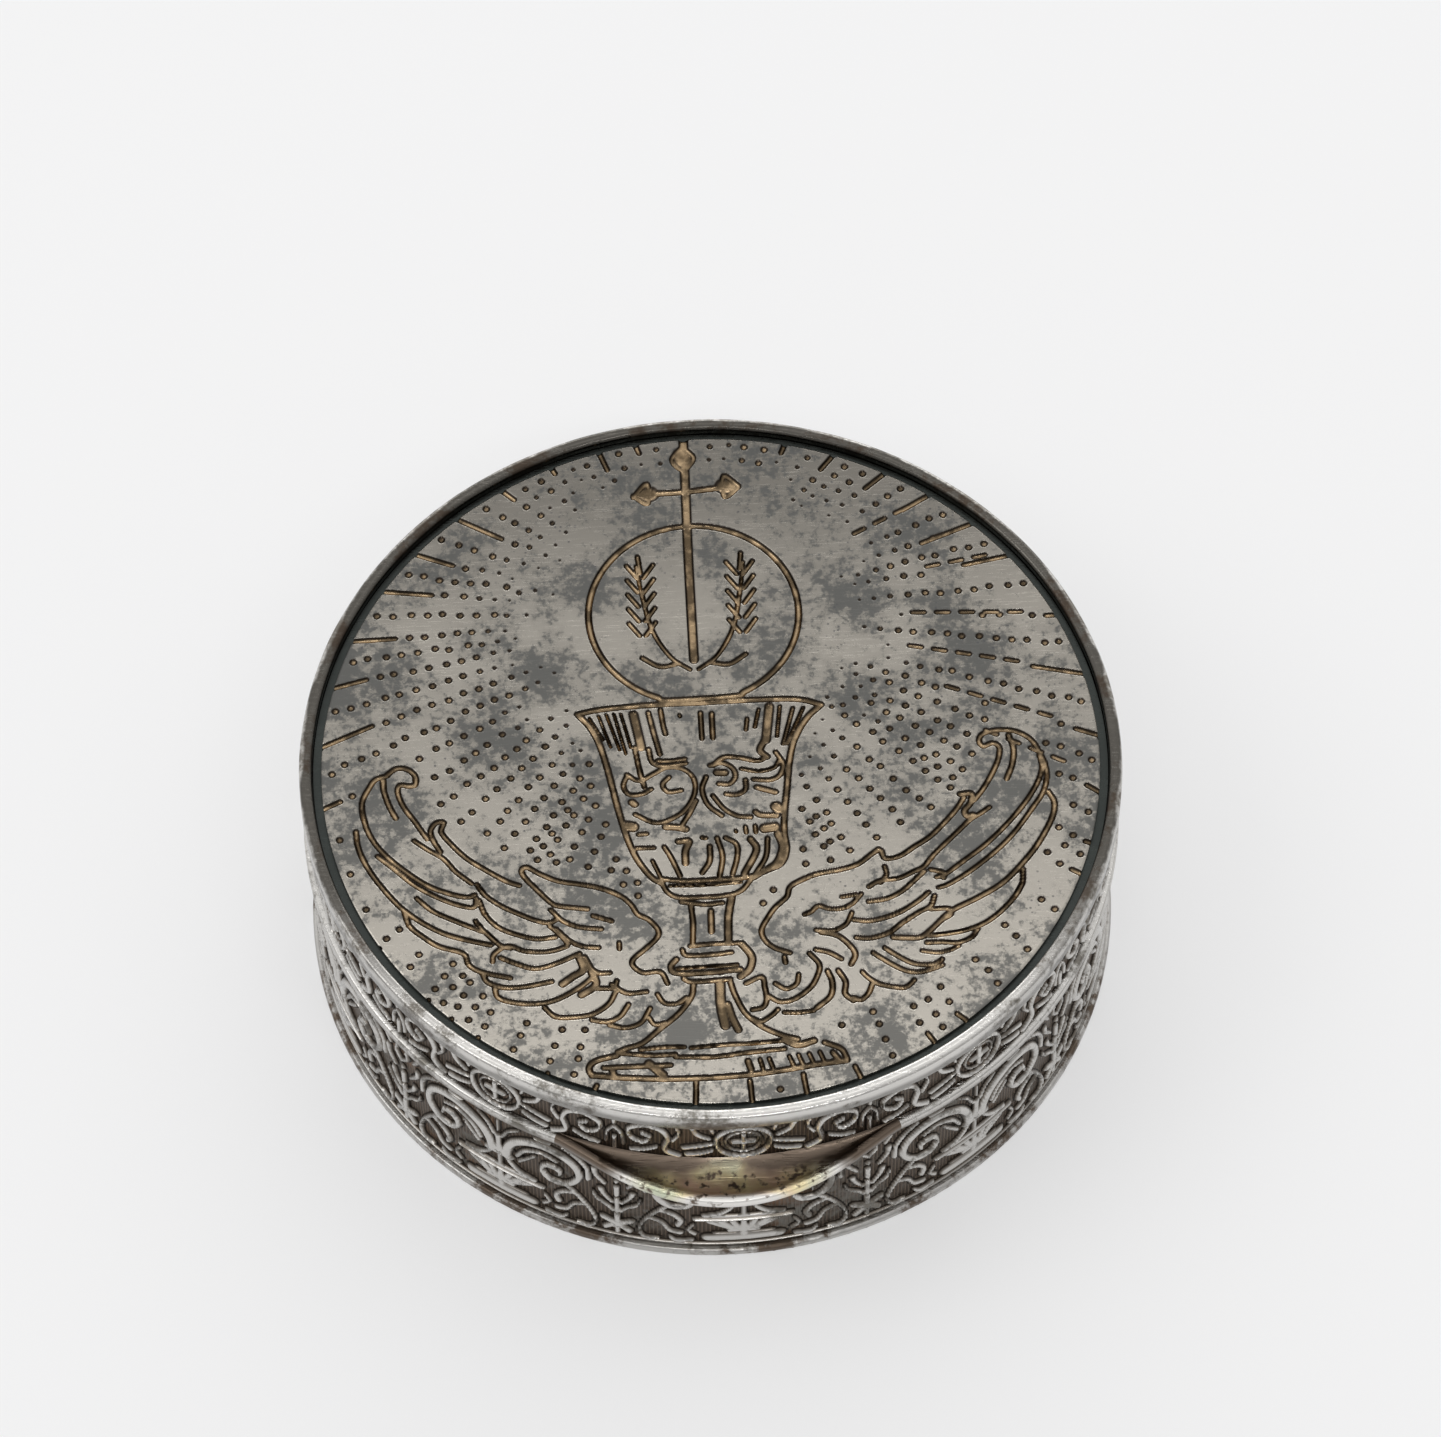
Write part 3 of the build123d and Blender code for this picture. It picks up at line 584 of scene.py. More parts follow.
def engraving(sizes):
    """Depths of everything engraved in the lid's field."""
    depths = Relief((-25, -25), (25, 25), flatness=1.0)
    groove = sizes.groove_depth / MM
    for table, view in ((RIGHT_WING, RIGHT_VIEW), (LEFT_WING, LEFT_VIEW), (CUP_LINES, CUP_VIEW)):
        for width, points in study_lines(table, view):
            depths.line(points, width * sizes.line_weight, groove)
    for width, points in HOST_LINES:
        depths.line(points, width * sizes.line_weight, groove)
    full, thin = GRAIN_WIDTHS
    for x, lean in WHEAT_STEMS:
        for y in WHEAT_GRAINS:
            for side in (-1, 1):
                depths.line(((x + 0.2 * side, y), (x + 0.85 * side, y + 0.95)), full, groove, thin)
        depths.line(((x, 14.4), (x + 0.12 * lean, 15.6)), full, groove, thin)
    host = np.array(HOST_CENTRE)
    turn = np.radians(np.arange(-136, 317, 6.0))
    round_host = host + HOST_RADIUS * np.stack([np.sin(turn), -np.cos(turn)], 1)
    depths.line([p for p in round_host if p[1] > HOST_OPENING], HOST_WIDTH * sizes.line_weight, groove)
    rays = []
    for outer, inner in RIM_STROKES:
        depths.line((outer, inner), STROKE_WIDTHS[0], groove, STROKE_WIDTHS[1])
        toward = np.array(inner) - host
        rays.append((math.atan2(toward[1], toward[0]), float(np.hypot(*toward)) - 0.9))
    for angle, near, far in DASHED_RAYS:
        direction = heading(math.radians(angle))
        for reach in np.arange(near, far, DASH_PITCH):
            ends = (host + direction * reach, host + direction * (reach + DASH_LENGTH))
            depths.line(ends, DASH_WIDTH, PUNCH_DEPTH)
    punch_rows(depths, host, rays, sizes)
    return depths


def dot_rows(host, rays, spacing):
    """Rows of dots as (angle, first reach): one down each ray, and more between the rays."""
    rays = sorted(rays)
    rows = list(rays)
    for (angle, _), (following, _) in zip(rays, rays[1:] + [(rays[0][0] + math.tau, 0)]):
        gap = following - angle
        between = max(1, round(gap / spacing) - 1)
        for i in range(1, between + 1):
            middle = angle + gap * i / (between + 1)
            along = float(host @ heading(middle))
            rows.append((middle, -along + math.sqrt(along**2 + DOT_FIELD_RADIUS**2 - float(host @ host))))
    return rows


def punch_rows(depths, host, rays, sizes):
    """Punches the rows of dots, smaller towards the host and clear of what is engraved."""
    chance = np.random.default_rng(7)
    for angle, start in dot_rows(host, rays, sizes.row_spacing):
        direction = heading(angle)
        stop = ROW_END + 3.5 * chance.random()
        reach = start
        while reach > stop:
            place = host + direction * reach + chance.normal(0, 0.07, 2)
            fade = min(1.0, (reach - stop) / 6 + 0.45)
            around = place + DOT_CLEAR * np.array(((0, 0), (1, 0), (-1, 0), (0, 1), (0, -1)))
            free = not any(inside(place, area) for area in DOT_FREE)
            from_cross = abs(place[0] - CROSS_X)
            cross = from_cross < 1.3 or (from_cross < 4.4 and 19 < place[1] < 22)
            if free and not cross and depths.at(around[:, 0], around[:, 1]).max() < 1e-6:
                depths.dot(place, DOT_RADIUS * fade * sizes.dot_size, PUNCH_DEPTH * fade)
            reach -= DOT_PITCH + 0.16 * chance.random()


def engraved_quarter(name, depths, side_x, side_y):
    """A quarter of the lid's plate: the engraved field, the moat and the underside."""
    steps = np.linspace(0, 1, PLATE_CELLS + 1)
    a, b = np.meshgrid(np.sort(side_x * steps), np.sort(side_y * steps), indexing="ij")
    wide = np.abs(a) > np.abs(b)
    reach = np.where(wide, a, b) * FIELD_RADIUS
    with np.errstate(divide="ignore", invalid="ignore"):
        bend = np.nan_to_num(np.where(wide, b / a, a / b)) * math.pi / 4
    x = np.where(wide, reach * np.cos(bend), reach * np.sin(bend)).ravel()
    y = np.where(wide, reach * np.sin(bend), reach * np.cos(bend)).ravel()
    depth = depths.at(x, y)
    wave = FIELD_WAVE * np.sin(0.55 * x + 1.3) * np.cos(0.43 * y)
    edge = np.clip((np.hypot(x, y) - FIELD_RADIUS + FIELD_EASE) / FIELD_EASE, 0, 1)
    top = np.stack([x, y, FIELD_HEIGHT - depth + wave - FIELD_DROP * edge**2], 1)
    index = np.arange(x.size).reshape(a.shape)
    loop = np.concatenate([index[:, 0], index[-1, 1:], index[-2::-1, -1], index[0, -2:0:-1]])
    on_cut = np.hypot(top[loop, 0], top[loop, 1]) < FIELD_RADIUS - 1e-3
    field, wider = top[loop, :2], top[loop, :2] * (PLATE_RADIUS / FIELD_RADIUS)
    shelf = np.where(on_cut, (MOAT_FLOOR + PLATE_BOTTOM) / 2, MOAT_FLOOR)
    size, n = len(top), len(loop)
    edges = [
        np.column_stack([field, np.full(n, MOAT_FLOOR)]),
        np.column_stack([wider, shelf]),
        np.column_stack([wider, np.full(n, PLATE_BOTTOM)]),
    ]
    rings = np.vstack([loop] + [size + k * n + np.arange(n) for k in range(3)])
    faces = [quad_grid(index), quad_grid(rings, wrap=True), rings[3][::-1][None, :]]
    cut = np.concatenate([np.clip(depth / GROOVE_COLOUR_DEPTH, 0, 1), np.zeros(3 * n)])
    # Mask of the moat, which the finish paints near black as painted shade
    moat = np.concatenate([np.zeros(size), np.ones(3 * n)])
    return mesh_object(name, np.vstack([top] + edges), faces, {"cut": cut, "moat": moat})


def stamped_tile(name, table, inner, low, high, beads, cells, height_scale):
    """One repeat of a wall band, open at its two sides, with a bead at each height of beads."""
    width = math.tau * BAND_RADIUS / REPEATS
    relief = Relief((-width / 2, low), (width / 2, high), flatness=0.6, wraps=True)
    for height, start, end, points in table:
        for mirror in (1, -1):
            path = [(mirror * u * width / STAMP_WIDTH, v) for u, v in points]
            relief.line(path, start, height * height_scale, end)
    around = np.linspace(-width / 2, width / 2, cells[0] + 1)
    u, v = np.meshgrid(around, np.linspace(low, high, cells[1] + 1))
    raised = relief.at(u.ravel(), v.ravel()).reshape(u.shape)
    for centre in beads:
        bead = BEAD_HEIGHT * np.clip(1 - ((v - centre) / BEAD_HALF_WIDTH) ** 4, 0, 1) ** 0.5
        raised = np.maximum(raised, bead)
    angle = u / BAND_RADIUS + math.radians(PATTERN_TURN)
    outer = around_axis(BAND_RADIUS + raised, angle, v)
    inner_low, inner_high = (around_axis(inner, angle[0], z)[None] for z in (low, high))
    points = np.concatenate([inner_low, outer, inner_high])
    index = np.arange(points.shape[0] * points.shape[1]).reshape(points.shape[:2])
    height = np.zeros(points.shape[:2])
    height[1:-1] = np.clip(raised / RAISED_COLOUR_HEIGHT, 0, 1)
    faces = quad_grid(np.vstack([index, index[:1]]))[:, ::-1]
    return mesh_object(name, points.reshape(-1, 3), [faces], {"raised": height.ravel()})


def ring_of_repeats(piece, count, material):
    """Repeats a tile round the Z axis with Geometry Nodes and leaves a plain closed mesh."""
    tree = bpy.data.node_groups.new("Stamped ring", "GeometryNodeTree")
    tree.interface.new_socket("Tile", in_out="INPUT", socket_type="NodeSocketGeometry")
    count_socket = tree.interface.new_socket("Repeats", in_out="INPUT", socket_type="NodeSocketInt")
    tree.interface.new_socket("Ring", in_out="OUTPUT", socket_type="NodeSocketGeometry")
    tile, repeats = tree.nodes.new("NodeGroupInput").outputs[:2]
    ring = tree.nodes.new("NodeGroupOutput").inputs["Ring"]
    points = add(tree, "GeometryNodePoints", {"Count": repeats}).outputs[0]
    step = math_node(tree, "DIVIDE", math.tau, repeats)
    turn = math_node(tree, "MULTIPLY", add(tree, "GeometryNodeInputIndex").outputs[0], step)
    rotation = add(tree, "ShaderNodeCombineXYZ", {"Z": turn}).outputs[0]
    placing = {"Points": points, "Instance": tile, "Rotation": rotation}
    placed = add(tree, "GeometryNodeInstanceOnPoints", placing).outputs[0]
    real = add(tree, "GeometryNodeRealizeInstances", {"Geometry": placed}).outputs[0]
    joining = {"Geometry": real, "Distance": 0.01 * MM}
    joined = add(tree, "GeometryNodeMergeByDistance", joining).outputs[0]
    finished = add(tree, "GeometryNodeSetMaterial", {"Geometry": joined, "Material": material})
    tree.links.new(finished.outputs[0], ring)
    modifier = piece.modifiers.new("Repeats", "NODES")
    modifier.node_group = tree
    modifier[count_socket.identifier] = count
    graph = bpy.context.evaluated_depsgraph_get()
    mesh = bpy.data.meshes.new_from_object(piece.evaluated_get(graph))
    piece.modifiers.remove(modifier)
    old = piece.data
    piece.data = mesh
    mesh.name = old.name
    bpy.data.meshes.remove(old)


def turned_ring(name, section, waver, segments=300):
    """A closed ring turned about Z from a section of (radius, height), with a hand-made waver."""
    section = np.array(section, float)
    angle = np.linspace(0, math.tau, segments, endpoint=False)
    chance = np.random.default_rng(3)
    drift = sum(
        chance.normal(0, 1) * np.cos(k * angle + chance.uniform(0, math.tau)) / math.sqrt(k)
        for k in range(2, 40)
    )
    drift *= waver / 4
    radius = section[:, 0][:, None] + drift[None, :]
    height = section[:, 1][:, None] + 0.5 * np.roll(drift, segments // 3)[None, :]
    points = around_axis(radius, angle, height)
    index = np.arange(radius.size).reshape(radius.shape)
    faces = quad_grid(np.vstack([index, index[:1]]), wrap=True)[:, ::-1]
    return mesh_object(name, points.reshape(-1, 3), [faces])


def mouth_sections(angles):
    """Sections of the mouth wire, which widens at the front into the scooped thumb lip."""
    turn = np.clip(np.abs(angles) / math.radians(LIP_HALF_ANGLE), 0, 1)
    extra = LIP_REACH * np.cos(turn * math.pi / 2) ** 1.35
    corner = np.radians(np.arange(-67.5, 90, 22.5))
    rise = np.where(np.sin(corner) < 0, MOUTH_BOTTOM + MOUTH_EDGE, MOUTH_TOP - MOUTH_EDGE)
    scoop = np.sin(np.linspace(0, math.pi, 15)) ** 0.8
    sections = []
    for reach, angle in zip(extra, angles):
        outer = BOX_RADIUS + reach
        profile = [(MOUTH_INNER, MOUTH_BOTTOM), (outer - MOUTH_EDGE, MOUTH_BOTTOM)]
        profile += zip(outer - MOUTH_EDGE + MOUTH_EDGE * np.cos(corner), rise + MOUTH_EDGE * np.sin(corner))
        across = np.linspace(LIP_EDGE, outer - MOUTH_INNER, 15)
        profile += zip(outer - across, MOUTH_TOP - LIP_SCOOP * (reach / LIP_REACH) ** 0.5 * scoop)
        r, z = np.array(profile).T
        sections.append(around_axis(r, angle, z))
    return np.array(sections)


def lofted(name, sections):
    """A closed piece through a row of sections, capped at both ends."""
    index = np.arange(sections.shape[0] * sections.shape[1]).reshape(sections.shape[:2])
    faces = [quad_grid(index, wrap=True), index[0][None, :], index[-1][::-1][None, :]]
    return mesh_object(name, sections.reshape(-1, 3), faces)


def rounded(corners, radius, steps=4):
    """A section whose corners are rounded; each corner is (radius, height, share of the rounding)."""
    result = []
    for i, (x, y, share) in enumerate(corners):
        here = np.array((x, y))
        if not share:
            result.append(here)
            continue
        before = np.array(corners[i - 1][:2]) - here
        after = np.array(corners[(i + 1) % len(corners)][:2]) - here
        first = here + before / np.linalg.norm(before) * radius * share
        last = here + after / np.linalg.norm(after) * radius * share
        for t in np.arange(steps + 1) / steps:
            result.append((1 - t) ** 2 * first + 2 * t * (1 - t) * here + t**2 * last)
    return result


# Finishes


def add(tree, kind, inputs=None, **settings):
    """A node with its settings, its sockets linked or set."""
    node = tree.nodes.new(kind)
    for key, value in settings.items():
        setattr(node, key, value)
    for key, value in (inputs or {}).items():
        if isinstance(value, bpy.types.NodeSocket):
            tree.links.new(value, node.inputs[key])
        else:
            node.inputs[key].default_value = value
    return node


def math_node(tree, operation, first, second=0.0, third=0.0):
    """The result of one sum on up to three values."""
    return add(tree, "ShaderNodeMath", {0: first, 1: second, 2: third}, operation=operation).outputs[0]


def mixed(tree, share, first, second):
    """Two colours mixed by a share."""
    return add(tree, "ShaderNodeMix", {0: share, 6: first, 7: second}, data_type="RGBA").outputs[2]


def ranged(tree, value, low, high, to_low=0.0, to_high=1.0):
    """A value brought smoothly from one range to another."""
    inputs = {"Value": value, "From Min": low, "From Max": high, "To Min": to_low, "To Max": to_high}
    return add(tree, "ShaderNodeMapRange", inputs, interpolation_type="SMOOTHSTEP").outputs[0]


def noise(tree, place, scale, detail, roughness=0.5):
    """The value of a noise at a place."""
    inputs = {"Vector": place, "Scale": scale, "Detail": detail, "Roughness": roughness}
    return add(tree, "ShaderNodeTexNoise", inputs).outputs[0]


def axes(tree, place):
    """The X, Y and Z of a place."""
    return add(tree, "ShaderNodeSeparateXYZ", {"Vector": place}).outputs


def attribute(tree, name):
    """A value that the mesh carries on its points."""
    return add(tree, "ShaderNodeAttribute", attribute_name=name).outputs["Fac"]


def effect_group(name, inputs, outputs):
    """An empty shader group that takes a place and named values and gives named values."""
    tree = bpy.data.node_groups.new(name, "ShaderNodeTree")
    tree.interface.new_socket("Vector", in_out="INPUT", socket_type="NodeSocketVector")
    for label, default in inputs:
        socket = tree.interface.new_socket(label, in_out="INPUT", socket_type="NodeSocketFloat")
        socket.default_value = default
    for label in outputs:
        tree.interface.new_socket(label, in_out="OUTPUT", socket_type="NodeSocketFloat")
    return tree, tree.nodes.new("NodeGroupInput").outputs, tree.nodes.new("NodeGroupOutput").inputs


def tarnish_group():
    """Grainy patches of tarnish: big soft shapes broken up by a fine grain."""
    if "Tarnish patches" in bpy.data.node_groups:
        return bpy.data.node_groups["Tarnish patches"]
    inputs = (("Patches per metre", 180.0), ("Cover", 0.5), ("Grain", 0.5))
    tree, given, result = effect_group("Tarnish patches", inputs, ("Mask", "Haze"))
    place = given["Vector"]
    big = noise(tree, place, given["Patches per metre"], 5.0, 0.6)
    fine = noise(tree, place, 1700.0, 6.0, 0.75)
    grain = math_node(tree, "MULTIPLY", math_node(tree, "SUBTRACT", fine, 0.5), given["Grain"])
    total = math_node(tree, "ADD", math_node(tree, "ADD", big, grain), given["Cover"])
    tree.links.new(ranged(tree, total, 0.94, 1.1), result["Mask"])
    tree.links.new(ranged(tree, big, 0.35, 0.65), result["Haze"])
    return tree


def scratch_group():
    """Fine scratches in three directions, and small pits."""
    if "Fine scratches" in bpy.data.node_groups:
        return bpy.data.node_groups["Fine scratches"]
    tree, given, result = effect_group("Fine scratches", (("Depth", 1.0),), ("Height", "Pits"))
    place = given["Vector"]
    total = 0.0
    for turn, stretch in ((0.4, 26.0), (1.9, 34.0), (2.75, 20.0)):
        laying = {"Vector": place, "Rotation": (0, 0, turn), "Scale": (1, stretch, 1)}
        streak = noise(tree, add(tree, "ShaderNodeMapping", laying).outputs[0], 420.0, 2.0)
        total = math_node(tree, "ADD", ranged(tree, streak, 0.62, 0.7), total)
    cells = add(tree, "ShaderNodeTexVoronoi", {"Vector": place, "Scale": 2100.0})
    spread = ranged(tree, noise(tree, place, 260.0, 3.0), 0.5, 0.62)
    pit = math_node(tree, "MULTIPLY", ranged(tree, cells.outputs["Distance"], 0.1, 0.22, 1.0, 0.0), spread)
    height = math_node(tree, "MULTIPLY", math_node(tree, "ADD", total, pit), given["Depth"])
    tree.links.new(math_node(tree, "MULTIPLY", height, -1.0), result["Height"])
    tree.links.new(pit, result["Pits"])
    return tree


def effect(tree, group, place, **values):
    """The outputs of a shared group at a place."""
    node = add(tree, "ShaderNodeGroup", node_tree=group)
    tree.links.new(place, node.inputs["Vector"])
    for key, value in values.items():
        node.inputs[key.replace("_", " ")].default_value = value
    return node.outputs


def metal(name):
    """A material with a metal Principled shader and object coordinates."""
    material = bpy.data.materials.new(name)
    material.use_nodes = True
    tree = material.node_tree
    shader = tree.nodes["Principled BSDF"]
    shader.inputs["Metallic"].default_value = 1.0
    return tree, shader, tree.nodes.new("ShaderNodeTexCoord").outputs["Object"]


def coat(tree, shader, colour, rough, height, distance, strength):
    """Gives a metal its colour, roughness and fine relief, whose distance is in millimetres."""
    tree.links.new(colour, shader.inputs["Base Color"])
    tree.links.new(rough, shader.inputs["Roughness"])
    bump = add(tree, "ShaderNodeBump", {"Height": height, "Distance": distance * MM, "Strength": strength})
    tree.links.new(bump.outputs[0], shader.inputs["Normal"])


def shade(colour, amount):
    """A colour made lighter or darker."""
    return (colour[0] * amount, colour[1] * amount, colour[2] * amount, 1.0)


def engraved_silver(colours):
    """Grey silver with dark grainy tarnish and fine scratches, painted lighter towards the front and darker
    towards the back as painted light; brown-bronze engraved lines with painted shade on their walls and their
    own bronze, partly lightened as a painted highlight, on their floors.
    """
    tree, shader, place = metal("Engraved silver")
    tarnish = effect(tree, tarnish_group(), place, Patches_per_metre=210.0, Cover=0.475, Grain=0.9)
    scratches = effect(tree, scratch_group(), place)
    haze_and_painted_light = mixed(tree, tarnish["Haze"], colours.silver, shade(colours.silver, 0.72))
    forward = axes(tree, place)["Y"]
    # Painted light: the face is painted lighter towards the front and darker towards the back
    haze_and_painted_light = mixed(tree, ranged(tree, forward, 6 * MM, -22 * MM), haze_and_painted_light, shade(colours.silver, 1.35))
    haze_and_painted_light = mixed(tree, ranged(tree, forward, 8 * MM, 24 * MM), haze_and_painted_light, shade(colours.silver, 0.55))
    face = mixed(tree, math_node(tree, "MULTIPLY", tarnish["Mask"], 0.78), haze_and_painted_light, colours.tarnish)
    face = mixed(tree, math_node(tree, "MULTIPLY", scratches["Pits"], 0.7), face, colours.pit)
    worn = ranged(tree, noise(tree, place, 900.0, 4.0), 0.38, 0.58)
    groove = mixed(tree, worn, colours.bronze, shade(colours.bronze, 0.3))
    cut = attribute(tree, "cut")
    # Painted shade: the grooves' walls are painted near black; their floors carry the lines' own bronze,
    # partly lightened as a painted highlight
    groove = mixed(tree, ranged(tree, cut, 0.5, 1.0), shade(colours.ground, 0.35), groove)
    colour = mixed(tree, ranged(tree, cut, 0.02, 0.3), face, groove)
    # Painted shade: the moat round the field is painted near black
    colour = mixed(tree, attribute(tree, "moat"), colour, colours.moat)
    rough = ranged(tree, tarnish["Mask"], 0.0, 1.0, 0.25, 0.4)
    rough = math_node(tree, "SUBTRACT", rough, math_node(tree, "MULTIPLY", cut, 0.08))
    coat(tree, shader, colour, rough, scratches["Height"], 0.012, 0.35)


def stamped_silver(colours):
    """Bright worn high spots over a dark brown ground with fine upright hatching."""
    tree, shader, place = metal("Stamped silver")
    raised = attribute(tree, "raised")
    patches = effect(tree, tarnish_group(), place, Patches_per_metre=220.0, Cover=0.42, Grain=0.5)
    parts = axes(tree, place)
    turn = math_node(tree, "ARCTAN2", parts["Y"], parts["X"])
    hatch = math_node(tree, "SINE", math_node(tree, "MULTIPLY", turn, 620.0))
    warm = ranged(tree, noise(tree, place, 150.0, 5.0, 0.65), 0.56, 0.7)
    ground = mixed(tree, warm, colours.ground, colours.copper)
    ground = mixed(tree, ranged(tree, hatch, 0.2, 1.0), ground, shade(colours.ground, 2.1))
    ground = mixed(tree, patches["Mask"], ground, shade(colours.silver, 0.5))
    ground = mixed(tree, ranged(tree, raised, 0.0, 0.12), ground, shade(colours.ground, 0.3))
    high = mixed(tree, patches["Mask"], colours.bright, shade(colours.silver, 0.55))
    dirty = [(a + b) / 2 for a, b in zip(shade(colours.silver, 0.6), shade(colours.ground, 1.6))]
    high = mixed(tree, ranged(tree, raised, 0.55, 1.05), dirty, high)
    colour = mixed(tree, ranged(tree, raised, 0.25, 0.6), ground, high)
    rough = ranged(tree, raised, 0.2, 1.0, 0.5, 0.26)
    hatch = math_node(tree, "MULTIPLY", hatch, ranged(tree, raised, 0.0, 0.25, 0.5, 0.0))
    height = math_node(tree, "ADD", hatch, noise(tree, place, 1300.0, 3.0))
    coat(tree, shader, colour, rough, height, 0.06, 0.6)


def worn_wire(name):
    """What the two wires share: the shader, the tarnish, the roughness and the scratches."""
    tree, shader, place = metal(name)
    patches = effect(tree, tarnish_group(), place, Patches_per_metre=240.0, Cover=0.44, Grain=0.6)
    scratches = effect(tree, scratch_group(), place)
    rough = ranged(tree, patches["Haze"], 0.0, 1.0, 0.16, 0.32)
    return tree, shader, place, patches, rough, scratches["Height"]


def mouth_silver(colours):
    """The mouth wire, painted brighter towards its top as a painted highlight and darker down its side as
    painted shade, with brown tarnish tones on the side.
    """
    tree, shader, place, patches, rough, height = worn_wire("Mouth silver")
    ragged = math_node(tree, "MULTIPLY", patches["Haze"], 0.3 * MM)
    up = math_node(tree, "ADD", axes(tree, place)["Z"], ragged)
    # Painted light: the mask named worn brightens the wire towards its top as a painted highlight; lower down
    # it stays darker as painted shade
    worn = ranged(tree, up, (MOUTH_BOTTOM + 0.05) * MM, (MOUTH_TOP + 0.15) * MM)
    side = mixed(tree, patches["Haze"], shade(colours.silver, 0.75), shade(colours.ground, 1.9))
    top = mixed(tree, patches["Mask"], shade(colours.bright, 1.05), shade(colours.silver, 0.6))
    coat(tree, shader, mixed(tree, worn, side, top), rough, height, 0.02, 0.5)


def rim_silver(colours):
    """The rim wire: dark tarnished silver, with painted highlights at the front and along its outer edge,
    which fade lower down as painted shade.
    """
    tree, shader, place, patches, rough, height = worn_wire("Rim silver")
    parts = axes(tree, place)
    flat = add(tree, "ShaderNodeVectorMath", {0: place, 1: (1, 1, 0)}, operation="MULTIPLY").outputs[0]
    radius = add(tree, "ShaderNodeVectorMath", {0: flat}, operation="LENGTH").outputs["Value"]
    ragged = math_node(tree, "MULTIPLY", patches["Haze"], 0.3 * MM)
    out = math_node(tree, "ADD", radius, ragged)
    # Painted highlight along the rim's outer edge
    edge = ranged(tree, out, (BOX_RADIUS - 0.15) * MM, (BOX_RADIUS + 0.1) * MM)
    up = math_node(tree, "SUBTRACT", parts["Z"], ragged)
    side = ranged(tree, up, PLATE_BOTTOM * MM, (BOX_TOP - 0.5) * MM)
    # Painted highlight at the front
    front = ranged(tree, parts["Y"], -8 * MM, -22 * MM)
    # The mask named worn holds these painted highlights, faded lower down as painted shade
    worn = math_node(tree, "MAXIMUM", front, math_node(tree, "MULTIPLY", edge, 0.8))
    worn = math_node(tree, "MULTIPLY", worn, math_node(tree, "MULTIPLY_ADD", side, 0.65, 0.3))
    dull = mixed(tree, patches["Mask"], shade(colours.silver, 0.3), shade(colours.ground, 0.8))
    bright = mixed(tree, patches["Mask"], shade(colours.bright, 1.15), shade(colours.silver, 0.7))
    coat(tree, shader, mixed(tree, worn, dull, bright), rough, height, 0.02, 0.5)


def lip_silver(colours):
    """The thumb lip: silver with a gold, rose and green film in its scoop, a painted highlight round its
    outer edge and sides, dark brown specks, and darker towards the band.
    """
    tree, shader, place = metal("Lip silver")
    parts = axes(tree, place)
    film = noise(tree, place, 260.0, 3.0)
    tint = add(tree, "ShaderNodeValToRGB", {"Fac": film})
    stops = tint.color_ramp.elements
    stops[0].position, stops[0].color = 0.34, (0.62, 0.66, 0.5, 1)
    stops[1].position, stops[1].color = 0.66, (0.85, 0.6, 0.46, 1)
    stops.new(0.5).color = (0.95, 0.82, 0.5, 1)
    ragged = math_node(tree, "MULTIPLY", film, 2.4 * MM)
    side = math_node(tree, "ADD", math_node(tree, "ABSOLUTE", parts["X"]), ragged)
    inner = ranged(tree, parts["Y"], -28.3 * MM, -27.9 * MM)
    patch = math_node(tree, "MULTIPLY", ranged(tree, side, 5.5 * MM, 8.0 * MM, 1.0, 0.0), inner)
    # Painted highlight: outside the film patch, the lip's outer edge and sides are painted bright silver
    colour = mixed(tree, patch, shade(colours.bright, 1.4), tint.outputs[0])
    dark_brown = shade(colours.ground, 2.0)
    colour = mixed(tree, ranged(tree, noise(tree, place, 1400.0, 3.0), 0.56, 0.68), colour, dark_brown)
    # Darker towards the band, with a ragged edge
    in_from_edge = math_node(tree, "ADD", parts["Y"], ragged)
    colour = mixed(tree, ranged(tree, in_from_edge, -25.6 * MM, -24.4 * MM), colour, dark_brown)
    scratches = effect(tree, scratch_group(), place)
    coat(tree, shader, colour, ranged(tree, film, 0.3, 0.7, 0.22, 0.4), scratches["Height"], 0.02, 0.4)


def gilt_inside(colours):
    """Warm gilding with a satin grain, worn to silver in small patches."""
    tree, shader, place = metal("Gilt inside")
    worn = effect(tree, tarnish_group(), place, Patches_per_metre=160.0, Cover=0.36, Grain=0.4)
    scratches = effect(tree, scratch_group(), place)
    colour = mixed(tree, worn["Haze"], colours.gilt, shade(colours.gilt, 0.8))
    colour = mixed(tree, worn["Mask"], colour, shade(colours.silver, 1.3))
    coat(tree, shader, colour, ranged(tree, worn["Haze"], 0, 1, 0.24, 0.36), scratches["Height"], 0.02, 0.4)


def dull_silver(colours):
    """Duller silver for the hinge, its leaves and the foot."""
    tree, shader, place = metal("Dull silver")
    patches = effect(tree, tarnish_group(), place, Patches_per_metre=300.0, Cover=0.52, Grain=0.6)
    scratches = effect(tree, scratch_group(), place)
    colour = mixed(tree, patches["Mask"], shade(colours.bright, 0.8), shade(colours.ground, 1.6))
    rough = ranged(tree, patches["Haze"], 0, 1, 0.28, 0.45)
    coat(tree, shader, colour, rough, scratches["Height"], 0.02, 0.4)


FINISHES = {
    "Engraved silver": engraved_silver,
    "Stamped silver": stamped_silver,
    "Mouth silver": mouth_silver,
    "Rim silver": rim_silver,
    "Lip silver": lip_silver,
    "Gilt inside": gilt_inside,
    "Dull silver": dull_silver,
}


def finish(name):
    """A material made once and then shared."""
    if name not in bpy.data.materials:
        FINISHES[name](bpy.context.scene.pyx_colours)
    return bpy.data.materials[name]


def dress(piece, material):
    """Gives a piece its one material."""
    piece.data.materials.clear()
    piece.data.materials.append(material)


# Stage


